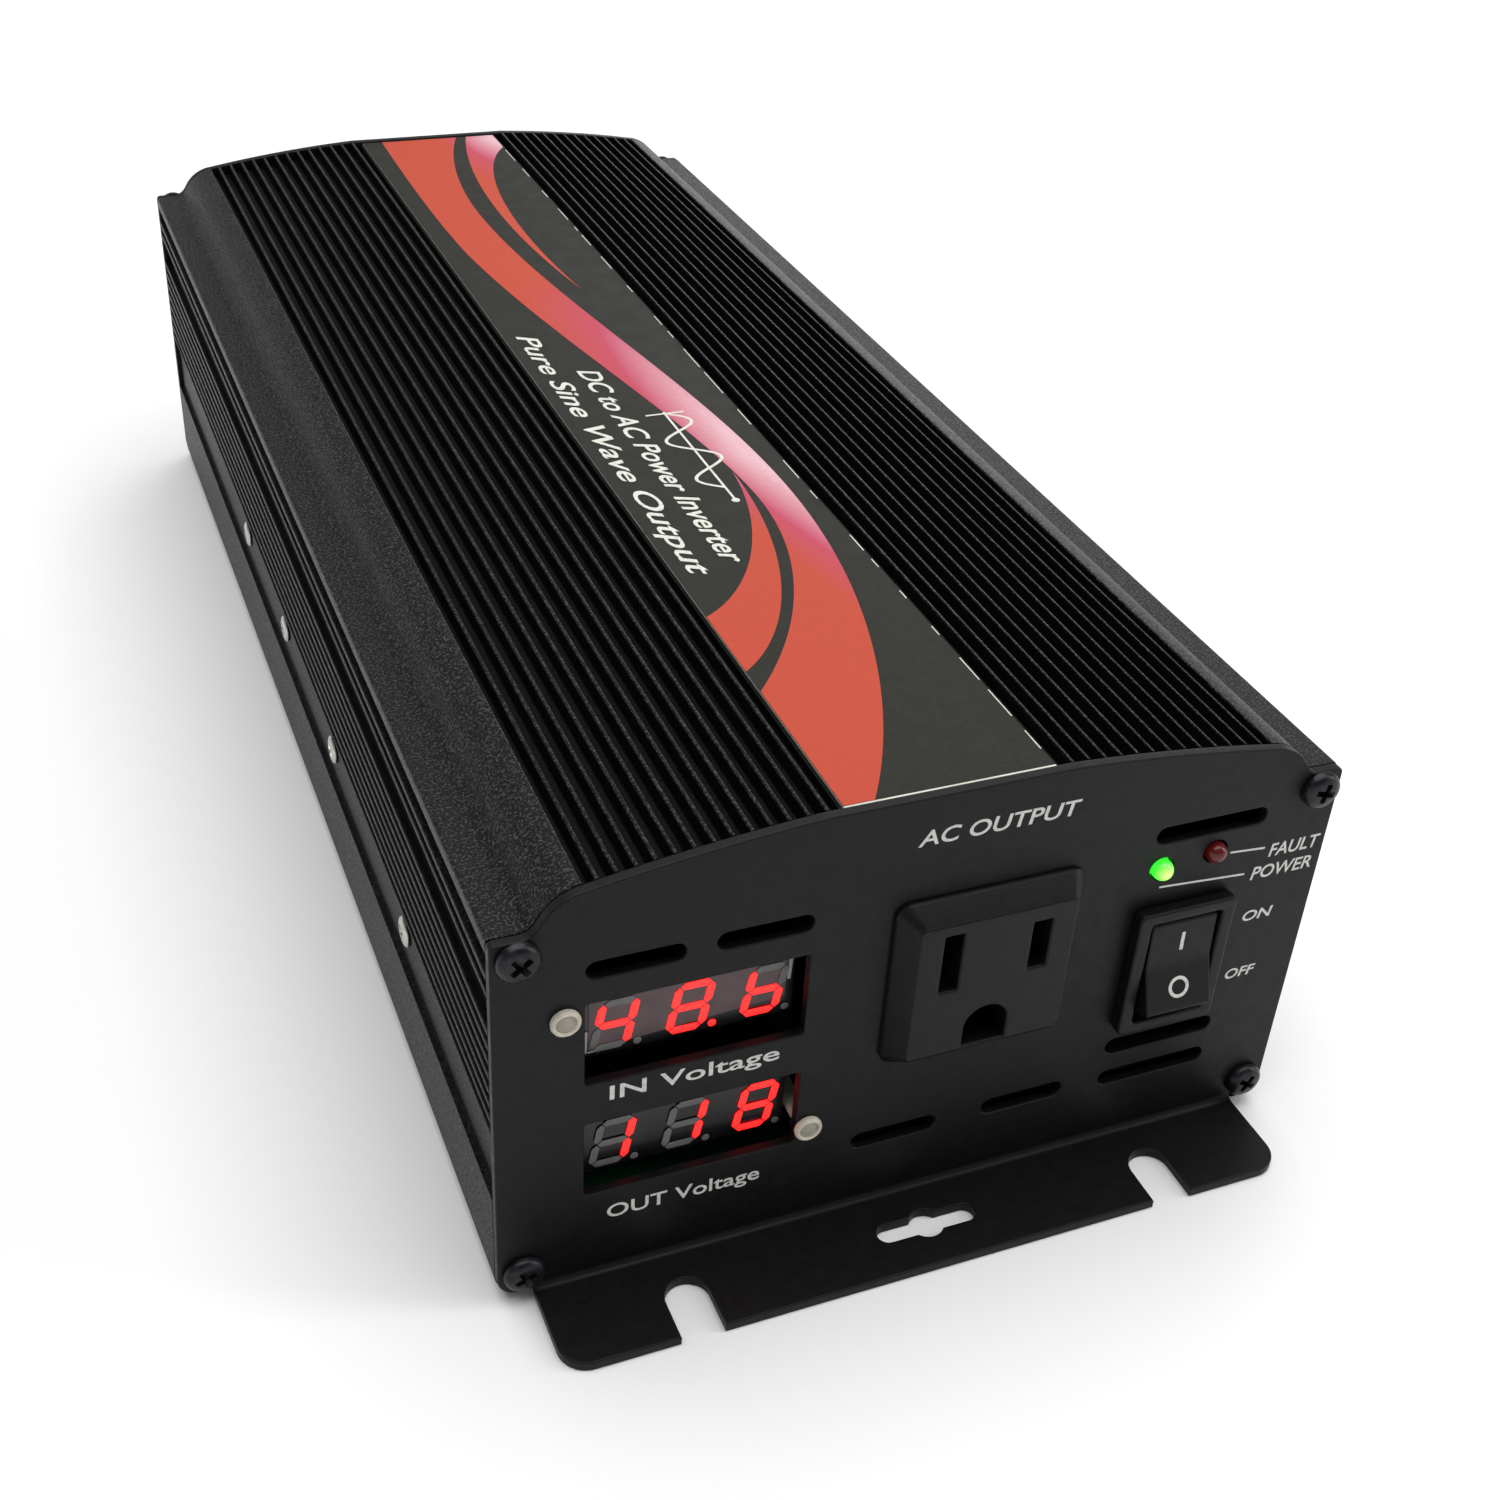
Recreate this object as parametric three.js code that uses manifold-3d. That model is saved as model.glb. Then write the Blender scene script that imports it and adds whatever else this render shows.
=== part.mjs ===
// A 1 kW class DC to AC power inverter: a two-piece finned aluminium housing between two sheet-metal
// end plates with mounting flanges. The front plate carries an AC outlet, a rocker switch, two digital
// voltmeters and two indicator LEDs; the rear plate carries the fan, the DC terminals and the earth screw.
//
// Millimetres, +Z up, +Y to the rear, +X to the right seen from the front. The origin is the centre of
// the bounding box, on the surface that the flanges stand on.
import * as THREE from "three";
import { mergeVertices } from "three/addons/utils/BufferGeometryUtils.js";
import Module from "manifold-3d";

const wasm = await Module();
wasm.setup();

// ---- Driving dimensions -------------------------------------------------------------------------

const GAP = 0.1; // between faces that touch on the real object
const HALF_WIDTH = 58.5;
const BODY_LENGTH = 257; // over both end plates
const SHEET = 1.5; // thickness of the end plates
const FLANGE_REACH = 14;
const FLANGE_HALF = 53.75;
const FLANGE_CORNER = 4;
const BEND_RADIUS = 1; // inside the bend between plate and flange
const KNOB_REACH = 26; // how far the terminal knobs stand behind the rear plate

const TOTAL_LENGTH = FLANGE_REACH + BODY_LENGTH + KNOB_REACH;
const FRONT = -TOTAL_LENGTH / 2 + FLANGE_REACH; // outer face of the front plate
const REAR = FRONT + BODY_LENGTH; // outer face of the rear plate
const SHELL_FRONT = FRONT + SHEET + GAP;
const SHELL_REAR = REAR - SHEET - GAP;

const BODY_BOTTOM = 0.5;
const PLATE_BOTTOM = 1.2;
const CORNER_RADIUS = 3;
const SHOULDER_Z = 60.5;
const SHOULDER_EDGE = 0.8; // chamfer along the outer edge of the shoulder
const SHOULDER_END = 54.6; // where the flat shoulder turns up into the riser
const ARCH_APEX_Z = 69.9;
const ARCH_RADIUS = 275;
const ARCH_HALF = 47.8;
const CREST_HALF = 16.5; // between here the end plates are level, just above the label

const RIB_PITCH = 2.38;
const RIB_WIDTH = 1.0;
const RIB_DEPTH = 1.5;
const TOP_RIBS = 13; // on each side of the label
const FIRST_RIB_X = 16.1;
const SEAT_HALF = 14.9;
const SEAT_Z = 68.8;
const COVER_WALL = 3.6;
const LABEL_THICK = 0.25;

const WALL_INNER = 55.7;
const WALL_TOP = 55.3;
const FLOOR_TOP = 2.5;
const SIDE_GROOVE = 1.1;
const SIDE_RIBS = 8;
const SIDE_RIB_TOP = 46.6;
const BAND_LOW = 17.8; // the smooth recessed band that holds the clamp screws
const BAND_HIGH = 29.3;
const BAND_DEPTH = 0.9;

const CORNER_SCREWS = [[-55.1, 58.0], [55.1, 58.0], [-55.1, 5.2], [55.1, 5.2]];
const SCREW_HOLE = 1.6;
const SIDE_SCREW_Z = 24.3;
const SIDE_SCREWS_Y = [48.5, 96, 135, 171].map((fromFront) => FRONT + fromFront);

const BOARD_Z = 9.0;
const BOARD_THICK = 1.6;
const BOARD_TOP = BOARD_Z + BOARD_THICK;

const OUTLET = { x: 6.7, z: 40.4, faceW: 22.8, faceH: 22.3, slope: 2.1, reach: 3.4, cut: 24.2, depth: 22 };
const BLADE_SPACING = 12.7;
const BLADE_Z = 44.9;
const BLADES = [
  { name: "neutral", x: OUTLET.x - BLADE_SPACING / 2, height: 9.2 },
  { name: "line", x: OUTLET.x + BLADE_SPACING / 2, height: 7.6 },
];
const GROUND_Z = BLADE_Z - 11.9;
const GROUND_RADIUS = 3.1;

const SWITCH = { x: 36.9, z: 33.2, bezelW: 15.1, bezelH: 21.1, bezelT: 2, bodyW: 12.9, bodyH: 19.1 };
const ROCKER = { pivotY: FRONT + 3, width: 10.2, restTilt: -11, pinRadius: 1.2 };

const WINDOWS = [
  { name: "input", z0: 35.4, z1: 48.6 },
  { name: "output", z0: 16.1, z1: 28.7 },
];
const WINDOW_LEFT = -46.9;
const WINDOW_RIGHT = -17.8;
const WINDOW_CORNER = 0.4;
const DISPLAY_BACK = 2; // from the inside of the plate to the face of a display
const DISPLAY_DEPTH = 7;
const RIVETS = [[-49.5, 47.0], [-16.1, 18.5]];
const LED_HOLE = 1.8;
const LEDS = { power_led: [32.4, 49.8, 0x35ff35], fault_led: [40.5, 50.8, 0xa01818] };

// [left, right, z] of the front plate's cooling slots
const VENTS = [
  [-46.9, -34.3, 53.7], [-30.4, -17.7, 53.8], [30.6, 47.6, 55.3], [29.4, 46.7, 18.7],
  [29.3, 46.5, 12.7], [10.6, 23.2, 13.1], [-9.2, 3.5, 13.0],
];
const VENT_HEIGHT = 2.7;

const FLANGE_SLOT = { x: 35.2, width: 6.1, centreFromEdge: 5.95 };
const KEYHOLE = { half: 7.35, radius: 1.5, bulge: 2.4, fromEdge: 6.9 };

const FAN = { x: -26, z: 33.3, half: 25, depth: 15, duct: 23.7, tip: 22.6, hub: 10.5, screw: 20 };
const GRILLE_RINGS = [8.5, 12.7, 16.9, 21.1];
const GRILLE_SLOT_HALF = 1.3;
const TERMINALS = { positive: [18, 24, 0xb01515], negative: [43, 24, 0x181818] };
const EARTH_SCREW = [30.5, 47];
const EARTH_HOLE = 2.3;
const TERMINAL_HOLE = 4.7;

const LOOKS = {
  blackAnodised: { color: 0x26272a, roughness: 0.45, metalness: 0.6 },
  blackPaint: { color: 0x2a2a2c, roughness: 0.55, metalness: 0.2 },
  label: { color: 0x3a3a38, roughness: 0.4, metalness: 0 },
  blackScrew: { color: 0x17181a, roughness: 0.4, metalness: 0.6 },
  steel: { color: 0xb8bbc0, roughness: 0.3, metalness: 1 },
  blackPlastic: { color: 0x1b1b1c, roughness: 0.5, metalness: 0 },
  whitePlastic: { color: 0xd8d2c4, roughness: 0.5, metalness: 0 },
  displayFace: { color: 0x141012, roughness: 0.25, metalness: 0 },
  brass: { color: 0xc09a4a, roughness: 0.3, metalness: 1 },
  board: { color: 0x1d5a35, roughness: 0.5, metalness: 0 },
  ferrite: { color: 0x33343a, roughness: 0.7, metalness: 0.1 },
  tape: { color: 0xc9a227, roughness: 0.5, metalness: 0 },
  sleeve: { color: 0x222a3a, roughness: 0.4, metalness: 0 },
  copper: { color: 0xb06a35, roughness: 0.35, metalness: 1 },
  aluminium: { color: 0xb5b8bb, roughness: 0.4, metalness: 1 },
};

// ---- Helpers --------------------------------------------------------------------------------------

const inverter = new THREE.Group();

function solid(geometry) {
  const bare = geometry.clone();
  bare.deleteAttribute("normal");
  bare.deleteAttribute("uv");
  const merged = mergeVertices(bare, 1e-4);
  return new wasm.Manifold(new wasm.Mesh({
    numProp: 3,
    vertProperties: merged.attributes.position.array,
    triVerts: new Uint32Array(merged.index.array),
  }));
}

function geometryOf(manifold) {
  const mesh = manifold.getMesh();
  const geometry = new THREE.BufferGeometry();
  geometry.setAttribute("position", new THREE.BufferAttribute(mesh.vertProperties, 3));
  geometry.setIndex(new THREE.BufferAttribute(mesh.triVerts, 1));
  geometry.computeVertexNormals();
  return geometry;
}

// Adds one named piece; look is a key of LOOKS or a plain colour of a glossy plastic.
function part(name, shape, look, position = [0, 0, 0], rotation = [0, 0, 0]) {
  const geometry = shape.isBufferGeometry ? shape : geometryOf(shape);
  const finish = LOOKS[look] ?? { color: look, roughness: 0.3, metalness: 0 };
  const mesh = new THREE.Mesh(geometry, new THREE.MeshStandardMaterial(finish));
  mesh.name = name;
  mesh.position.set(...position);
  mesh.rotation.set(...rotation);
  inverter.add(mesh);
}

function box(x0, x1, y0, y1, z0, z1) {
  const geometry = new THREE.BoxGeometry(x1 - x0, y1 - y0, z1 - z0);
  return solid(geometry.translate((x0 + x1) / 2, (y0 + y1) / 2, (z0 + z1) / 2));
}

// A cylinder along Y from y0 to y1.
function rodY(radius, y0, y1, x = 0, z = 0, sides = 20) {
  const geometry = new THREE.CylinderGeometry(radius, radius, y1 - y0, sides);
  return solid(geometry.translate(x, (y0 + y1) / 2, z));
}

// A cylinder along X from x0 to x1.
function rodX(radius, x0, x1, y = 0, z = 0, sides = 16) {
  const geometry = new THREE.CylinderGeometry(radius, radius, x1 - x0, sides).rotateZ(Math.PI / 2);
  return solid(geometry.translate((x0 + x1) / 2, y, z));
}

// A shape drawn in (x, z), extruded from y0 to y1.
function extrudeY(shape, y0, y1, curveSegments = 6) {
  const geometry = new THREE.ExtrudeGeometry(shape, { depth: y1 - y0, bevelEnabled: false, curveSegments });
  return solid(geometry.rotateX(Math.PI / 2).translate(0, y1, 0));
}

// A shape drawn in (x, y), extruded from z0 to z1.
function extrudeZ(shape, z0, z1, curveSegments = 6) {
  const geometry = new THREE.ExtrudeGeometry(shape, { depth: z1 - z0, bevelEnabled: false, curveSegments });
  return solid(geometry.translate(0, 0, z0));
}

// A shape drawn in (y, z), extruded from x0 to x1.
function extrudeX(shape, x0, x1, curveSegments = 6) {
  const geometry = new THREE.ExtrudeGeometry(shape, { depth: x1 - x0, bevelEnabled: false, curveSegments });
  const turn = new THREE.Matrix4().makeBasis(
    new THREE.Vector3(0, 1, 0), new THREE.Vector3(0, 0, 1), new THREE.Vector3(1, 0, 0));
  return solid(geometry.applyMatrix4(turn).translate(x0, 0, 0));
}

// A profile of [radius, along] points turned around the Y axis, closed on the axis at both ends.
function turnedY(profile, sides = 16) {
  const points = profile.map(([radius, along]) => new THREE.Vector2(radius, along));
  return solid(new THREE.LatheGeometry(points, sides));
}

function shapeOf(points) {
  return new THREE.Shape(points.map(([x, y]) => new THREE.Vector2(x, y)));
}

function circle(x, y, radius) {
  const path = new THREE.Path();
  path.absarc(x, y, radius, 0, 2 * Math.PI, false);
  return path;
}

// A rectangle with rounded corners, as any kind of THREE.Path.
function roundedRect(path, x0, x1, y0, y1, radius) {
  path.moveTo(x0 + radius, y0);
  path.lineTo(x1 - radius, y0);
  path.absarc(x1 - radius, y0 + radius, radius, -Math.PI / 2, 0, false);
  path.lineTo(x1, y1 - radius);
  path.absarc(x1 - radius, y1 - radius, radius, 0, Math.PI / 2, false);
  path.lineTo(x0 + radius, y1);
  path.absarc(x0 + radius, y1 - radius, radius, Math.PI / 2, Math.PI, false);
  path.lineTo(x0, y0 + radius);
  path.absarc(x0 + radius, y0 + radius, radius, Math.PI, 1.5 * Math.PI, false);
  return path;
}

// A slot with round ends along X.
function slot(path, x0, x1, z, radius) {
  path.moveTo(x0 + radius, z - radius);
  path.lineTo(x1 - radius, z - radius);
  path.absarc(x1 - radius, z, radius, -Math.PI / 2, Math.PI / 2, false);
  path.lineTo(x0 + radius, z + radius);
  path.absarc(x0 + radius, z, radius, Math.PI / 2, 1.5 * Math.PI, false);
  return path;
}

function mirrored(points) {
  return points.map(([x, z]) => [-x, z]).reverse();
}

// ---- The housing's cross-section --------------------------------------------------------------------

function archZ(x) {
  return ARCH_APEX_Z - ARCH_RADIUS + Math.sqrt(ARCH_RADIUS ** 2 - x ** 2);
}

// The riser from the flat shoulder up to the arch: hollow at its foot, round at its head.
function riserPoints() {
  const foot = new THREE.QuadraticBezierCurve(
    new THREE.Vector2(SHOULDER_END, SHOULDER_Z),
    new THREE.Vector2(SHOULDER_END - 1.4, SHOULDER_Z),
    new THREE.Vector2(SHOULDER_END - 2.3, SHOULDER_Z + 1.7));
  const head = new THREE.QuadraticBezierCurve(
    new THREE.Vector2(SHOULDER_END - 2.3, SHOULDER_Z + 1.7),
    new THREE.Vector2(SHOULDER_END - 3.7, SHOULDER_Z + 4.3),
    new THREE.Vector2(ARCH_HALF, archZ(ARCH_HALF)));
  return [...foot.getPoints(3), ...head.getPoints(3).slice(1)].map((p) => [p.x, p.y]);
}

function shoulderPoints() {
  return [
    [HALF_WIDTH, SHOULDER_Z - SHOULDER_EDGE],
    [HALF_WIDTH - SHOULDER_EDGE, SHOULDER_Z],
    ...riserPoints(),
  ];
}

function cornerArc(bottom) {
  const points = [];
  for (let i = 0; i <= 4; i++) {
    const angle = -Math.PI / 2 + (i / 4) * (Math.PI / 2);
    const centreX = HALF_WIDTH - CORNER_RADIUS;
    const centreZ = bottom + CORNER_RADIUS;
    points.push([centreX + CORNER_RADIUS * Math.cos(angle), centreZ + CORNER_RADIUS * Math.sin(angle)]);
  }
  return points;
}

// The outline shared by both end plates.
function plateOutline() {
  const arch = [];
  for (let x = ARCH_HALF - 6; x > CREST_HALF; x -= 6) arch.push([x, archZ(x)]);
  const right = [...cornerArc(PLATE_BOTTOM), ...shoulderPoints(), ...arch, [CREST_HALF, archZ(CREST_HALF)]];
  return shapeOf([...right, ...mirrored(right)]);
}

function topRibPoints() {
  const points = [];
  for (let i = TOP_RIBS - 1; i >= 0; i--) {
    const inner = FIRST_RIB_X + i * RIB_PITCH;
    const outer = inner + RIB_WIDTH;
    points.push(
      [outer, archZ(outer) - RIB_DEPTH], [outer, archZ(outer)],
      [inner, archZ(inner)], [inner, archZ(inner) - RIB_DEPTH]);
  }
  return points;
}

function coverProfile() {
  const lastGroove = FIRST_RIB_X + (TOP_RIBS - 1) * RIB_PITCH + RIB_WIDTH + 1.2;
  const outer = [
    [54.2, 52], [55.3, 52], [55.3, 55.6], [57.4, 55.6], [57.4, 58.2], [HALF_WIDTH, 58.2],
    ...shoulderPoints(),
    [lastGroove, archZ(lastGroove)], [lastGroove, archZ(lastGroove) - RIB_DEPTH],
    ...topRibPoints(),
    [SEAT_HALF, SEAT_Z - 1], [SEAT_HALF, SEAT_Z],
  ];
  const inner = [[54.2, 55], [52.2, 55], [52.2, 58.6], [50.8, 58.6], [49.6, 60.2]];
  for (let x = 45; x > 0; x -= 9) inner.push([x, archZ(x) - COVER_WALL]);
  const inside = [...inner, ...mirrored(inner)].reverse();
  const shape = shapeOf([...outer, ...mirrored(outer), ...inside]);
  for (const [x, z] of CORNER_SCREWS.slice(0, 2)) shape.holes.push(circle(x, z, SCREW_HOLE));
  return shape;
}

// The outer face of a side wall, from its foot up: plain skirt, recessed band, fine ribs, hook ribs.
function sideWallPoints() {
  const groove = HALF_WIDTH - SIDE_GROOVE;
  const band = HALF_WIDTH - BAND_DEPTH;
  const points = [[HALF_WIDTH, BAND_LOW], [band, BAND_LOW], [band, BAND_HIGH], [HALF_WIDTH, BAND_HIGH]];
  const lowestRibTop = SIDE_RIB_TOP - (SIDE_RIBS - 1) * RIB_PITCH;
  points.push([HALF_WIDTH, lowestRibTop], [groove, lowestRibTop]);
  for (let i = SIDE_RIBS - 2; i >= 0; i--) {
    const top = SIDE_RIB_TOP - i * RIB_PITCH;
    points.push([groove, top - RIB_WIDTH], [HALF_WIDTH, top - RIB_WIDTH], [HALF_WIDTH, top], [groove, top]);
  }
  points.push([groove, 51.7], [HALF_WIDTH, 51.7], [HALF_WIDTH, 52.7], [groove, 52.7]);
  points.push([groove, 54.2], [HALF_WIDTH, 54.2], [HALF_WIDTH, WALL_TOP]);
  return points;
}

function trayProfile() {
  const right = [
    ...cornerArc(BODY_BOTTOM),
    ...sideWallPoints(),
    [WALL_INNER, WALL_TOP], [WALL_INNER, 12.2], [52.8, 12.2], [52.8, 11.0], [55, 11.0], [55, 8.7],
    [52.2, 8.7], [52.2, FLOOR_TOP],
  ];
  const shape = shapeOf([...right, ...mirrored(right)]);
  for (const [x, z] of CORNER_SCREWS.slice(2)) shape.holes.push(circle(x, z, SCREW_HOLE));
  return shape;
}

function addHousing() {
  part("upper_shell", extrudeY(coverProfile(), SHELL_FRONT, SHELL_REAR, 3), "blackAnodised");
  let tray = extrudeY(trayProfile(), SHELL_FRONT, SHELL_REAR, 3);
  for (const y of SIDE_SCREWS_Y) {
    tray = tray.subtract(rodX(SCREW_HOLE, -HALF_WIDTH - 1, -WALL_INNER + 1, y, SIDE_SCREW_Z, 12));
    tray = tray.subtract(rodX(SCREW_HOLE, WALL_INNER - 1, HALF_WIDTH + 1, y, SIDE_SCREW_Z, 12));
  }
  part("lower_shell", tray, "blackAnodised");
  const labelHalf = SEAT_HALF - 0.5;
  const labelBottom = SEAT_Z + 0.05;
  const label = box(-labelHalf, labelHalf, SHELL_FRONT, SHELL_REAR, labelBottom, labelBottom + LABEL_THICK);
  part("top_label", label, "label");
}

// ---- End plates -------------------------------------------------------------------------------------

// The flat part of the mounting flange, seen from above, with the plate's outer face at y = 0.
function flangeOutline() {
  const edge = -FLANGE_REACH;
  const slotRadius = FLANGE_SLOT.width / 2;
  const cornerX = FLANGE_HALF - FLANGE_CORNER;
  const cornerY = edge + FLANGE_CORNER;
  const outline = new THREE.Shape();
  outline.moveTo(-FLANGE_HALF, -2 * BEND_RADIUS);
  outline.lineTo(-FLANGE_HALF, cornerY);
  outline.absarc(-cornerX, cornerY, FLANGE_CORNER, Math.PI, 1.5 * Math.PI, false);
  for (const x of [-FLANGE_SLOT.x, FLANGE_SLOT.x]) {
    outline.lineTo(x - slotRadius, edge);
    outline.lineTo(x - slotRadius, edge + FLANGE_SLOT.centreFromEdge);
    outline.absarc(x, edge + FLANGE_SLOT.centreFromEdge, slotRadius, Math.PI, 0, true);
    outline.lineTo(x + slotRadius, edge);
  }
  outline.lineTo(cornerX, edge);
  outline.absarc(cornerX, cornerY, FLANGE_CORNER, -Math.PI / 2, 0, false);
  outline.lineTo(FLANGE_HALF, -2 * BEND_RADIUS);
  return outline;
}

// The bend between flange and plate in (y, z); it overlaps both a little.
function bendOutline() {
  const outer = BEND_RADIUS + SHEET;
  const flatEnd = -2 * BEND_RADIUS - 0.01;
  const plateEnd = outer + 1.5;
  const bend = new THREE.Shape();
  bend.moveTo(flatEnd, 0);
  bend.lineTo(-BEND_RADIUS, 0);
  bend.absarc(-BEND_RADIUS, outer, outer, -Math.PI / 2, 0, false);
  bend.lineTo(SHEET, plateEnd);
  bend.lineTo(0, plateEnd);
  bend.lineTo(0, outer);
  bend.absarc(-BEND_RADIUS, outer, BEND_RADIUS, 0, -Math.PI / 2, true);
  bend.lineTo(flatEnd, SHEET);
  return bend;
}

// The mounting flange of the front plate, with the plate's outer face at y = 0.
function flange() {
  const keyholeY = -FLANGE_REACH + KEYHOLE.fromEdge;
  const keyhole = slot(new THREE.Shape(), -KEYHOLE.half, KEYHOLE.half, keyholeY, KEYHOLE.radius);
  const bulge = new THREE.CylinderGeometry(KEYHOLE.bulge, KEYHOLE.bulge, 4, 16)
    .rotateX(Math.PI / 2)
    .translate(0, keyholeY, 1);
  return extrudeZ(flangeOutline(), 0, SHEET)
    .subtract(extrudeZ(keyhole, -1, SHEET + 1))
    .subtract(solid(bulge))
    .add(extrudeX(bendOutline(), -FLANGE_HALF, FLANGE_HALF, 3));
}

function cornerScrewHoles(shape) {
  for (const [x, z] of CORNER_SCREWS) shape.holes.push(circle(x, z, SCREW_HOLE));
}

function addFrontPlate() {
  const shape = plateOutline();
  cornerScrewHoles(shape);
  for (const [x0, x1, z] of VENTS) shape.holes.push(slot(new THREE.Path(), x0, x1, z, VENT_HEIGHT / 2));
  for (const { z0, z1 } of WINDOWS) {
    shape.holes.push(roundedRect(new THREE.Path(), WINDOW_LEFT, WINDOW_RIGHT, z0, z1, WINDOW_CORNER));
  }
  for (const [x, z] of RIVETS) shape.holes.push(circle(x, z, SCREW_HOLE));
  for (const [x, z] of Object.values(LEDS)) shape.holes.push(circle(x, z, LED_HOLE));
  const cut = OUTLET.cut / 2;
  shape.holes.push(roundedRect(new THREE.Path(),
    OUTLET.x - cut, OUTLET.x + cut, OUTLET.z - cut, OUTLET.z + cut, 0.5));
  const cutW = SWITCH.bodyW / 2 + 0.2;
  const cutH = SWITCH.bodyH / 2 + 0.2;
  shape.holes.push(roundedRect(new THREE.Path(),
    SWITCH.x - cutW, SWITCH.x + cutW, SWITCH.z - cutH, SWITCH.z + cutH, 0.3));
  const plate = extrudeY(shape, 0, SHEET, 3).add(flange());
  part("front_plate", plate, "blackPaint", [0, FRONT, 0]);
}

// A quarter-ring slot of the fan grille between two angles.
function grilleArc(radius, from, to) {
  const path = new THREE.Path();
  path.absarc(FAN.x, FAN.z, radius + GRILLE_SLOT_HALF, from, to, false);
  path.absarc(FAN.x, FAN.z, radius - GRILLE_SLOT_HALF, to, from, true);
  return path;
}

function addRearPlate() {
  const shape = plateOutline();
  cornerScrewHoles(shape);
  for (const radius of GRILLE_RINGS) {
    const web = 2 / radius; // half the angle of the spoke between two slots
    for (let quarter = 0; quarter < 4; quarter++) {
      const start = Math.PI / 4 + (quarter * Math.PI) / 2;
      shape.holes.push(grilleArc(radius, start + web, start + Math.PI / 2 - web));
    }
  }
  for (const side of [-FAN.screw, FAN.screw]) {
    shape.holes.push(circle(FAN.x + side, FAN.z - FAN.screw, SCREW_HOLE));
    shape.holes.push(circle(FAN.x + side, FAN.z + FAN.screw, SCREW_HOLE));
  }
  for (const [x, z] of Object.values(TERMINALS)) shape.holes.push(circle(x, z, TERMINAL_HOLE));
  shape.holes.push(circle(...EARTH_SCREW, EARTH_HOLE));
  const feet = flange().rotate([0, 0, 180]).translate([0, SHEET, 0]);
  const plate = extrudeY(shape, 0, SHEET, 5).add(feet);
  part("rear_plate", plate, "blackPaint", [0, REAR - SHEET, 0]);
}

// ---- Fasteners --------------------------------------------------------------------------------------

// A pan-head screw with a cross recess. Its head points to -Y and its seat is at y = 0.
function panScrew(headRadius, headHeight, shankRadius, length, sides = 12) {
  const screw = turnedY([
    [0, -headHeight], [headRadius * 0.62, -headHeight], [headRadius, -headHeight * 0.45], [headRadius, 0],
    [shankRadius, 0], [shankRadius, length], [0, length],
  ], sides);
  const arm = headRadius * 0.55;
  const slit = headRadius * 0.14;
  const floor = -headHeight * 0.35;
  const cross = box(-arm, arm, -headHeight - 1, floor, -slit, slit)
    .add(box(-slit, slit, -headHeight - 1, floor, -arm, arm));
  return geometryOf(screw.subtract(cross));
}

function addFasteners() {
  const corner = panScrew(2.7, 1.6, 1.25, 10);
  CORNER_SCREWS.forEach(([x, z], i) => {
    part(`front_screw_${i + 1}`, corner, "blackScrew", [x, FRONT - GAP, z]);
    part(`rear_screw_${i + 1}`, corner, "blackScrew", [x, REAR + GAP, z], [0, 0, Math.PI]);
  });
  const clamp = panScrew(2.6, 0.75, 1.25, 9.5, 10);
  const seat = HALF_WIDTH - BAND_DEPTH + GAP;
  SIDE_SCREWS_Y.forEach((y, i) => {
    part(`left_clamp_screw_${i + 1}`, clamp, "steel", [-seat, y, SIDE_SCREW_Z], [0, 0, -Math.PI / 2]);
    part(`right_clamp_screw_${i + 1}`, clamp, "steel", [seat, y, SIDE_SCREW_Z], [0, 0, Math.PI / 2]);
  });
}

// ---- AC outlet --------------------------------------------------------------------------------------

function outletFrame() {
  const face = roundedRect(new THREE.Shape(),
    -OUTLET.faceW / 2, OUTLET.faceW / 2, -OUTLET.faceH / 2, OUTLET.faceH / 2, 0.8);
  const foot = 0.3; // straight part next to the plate
  const geometry = new THREE.ExtrudeGeometry(face, {
    depth: foot,
    bevelThickness: OUTLET.reach - foot,
    bevelSize: OUTLET.slope,
    bevelSegments: 1,
    curveSegments: 3,
  });
  const frame = solid(geometry.rotateX(Math.PI / 2)); // bevels reach both ways from y = 0
  return frame.subtract(box(-20, 20, 0, 20, -20, 20));
}

// The hole for the ground pin: a half round on a square foot.
function groundHole() {
  const low = GROUND_Z - GROUND_RADIUS;
  const hole = new THREE.Shape();
  hole.moveTo(OUTLET.x - GROUND_RADIUS, low);
  hole.lineTo(OUTLET.x + GROUND_RADIUS, low);
  hole.lineTo(OUTLET.x + GROUND_RADIUS, GROUND_Z);
  hole.absarc(OUTLET.x, GROUND_Z, GROUND_RADIUS, 0, Math.PI, false);
  return hole;
}

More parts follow.
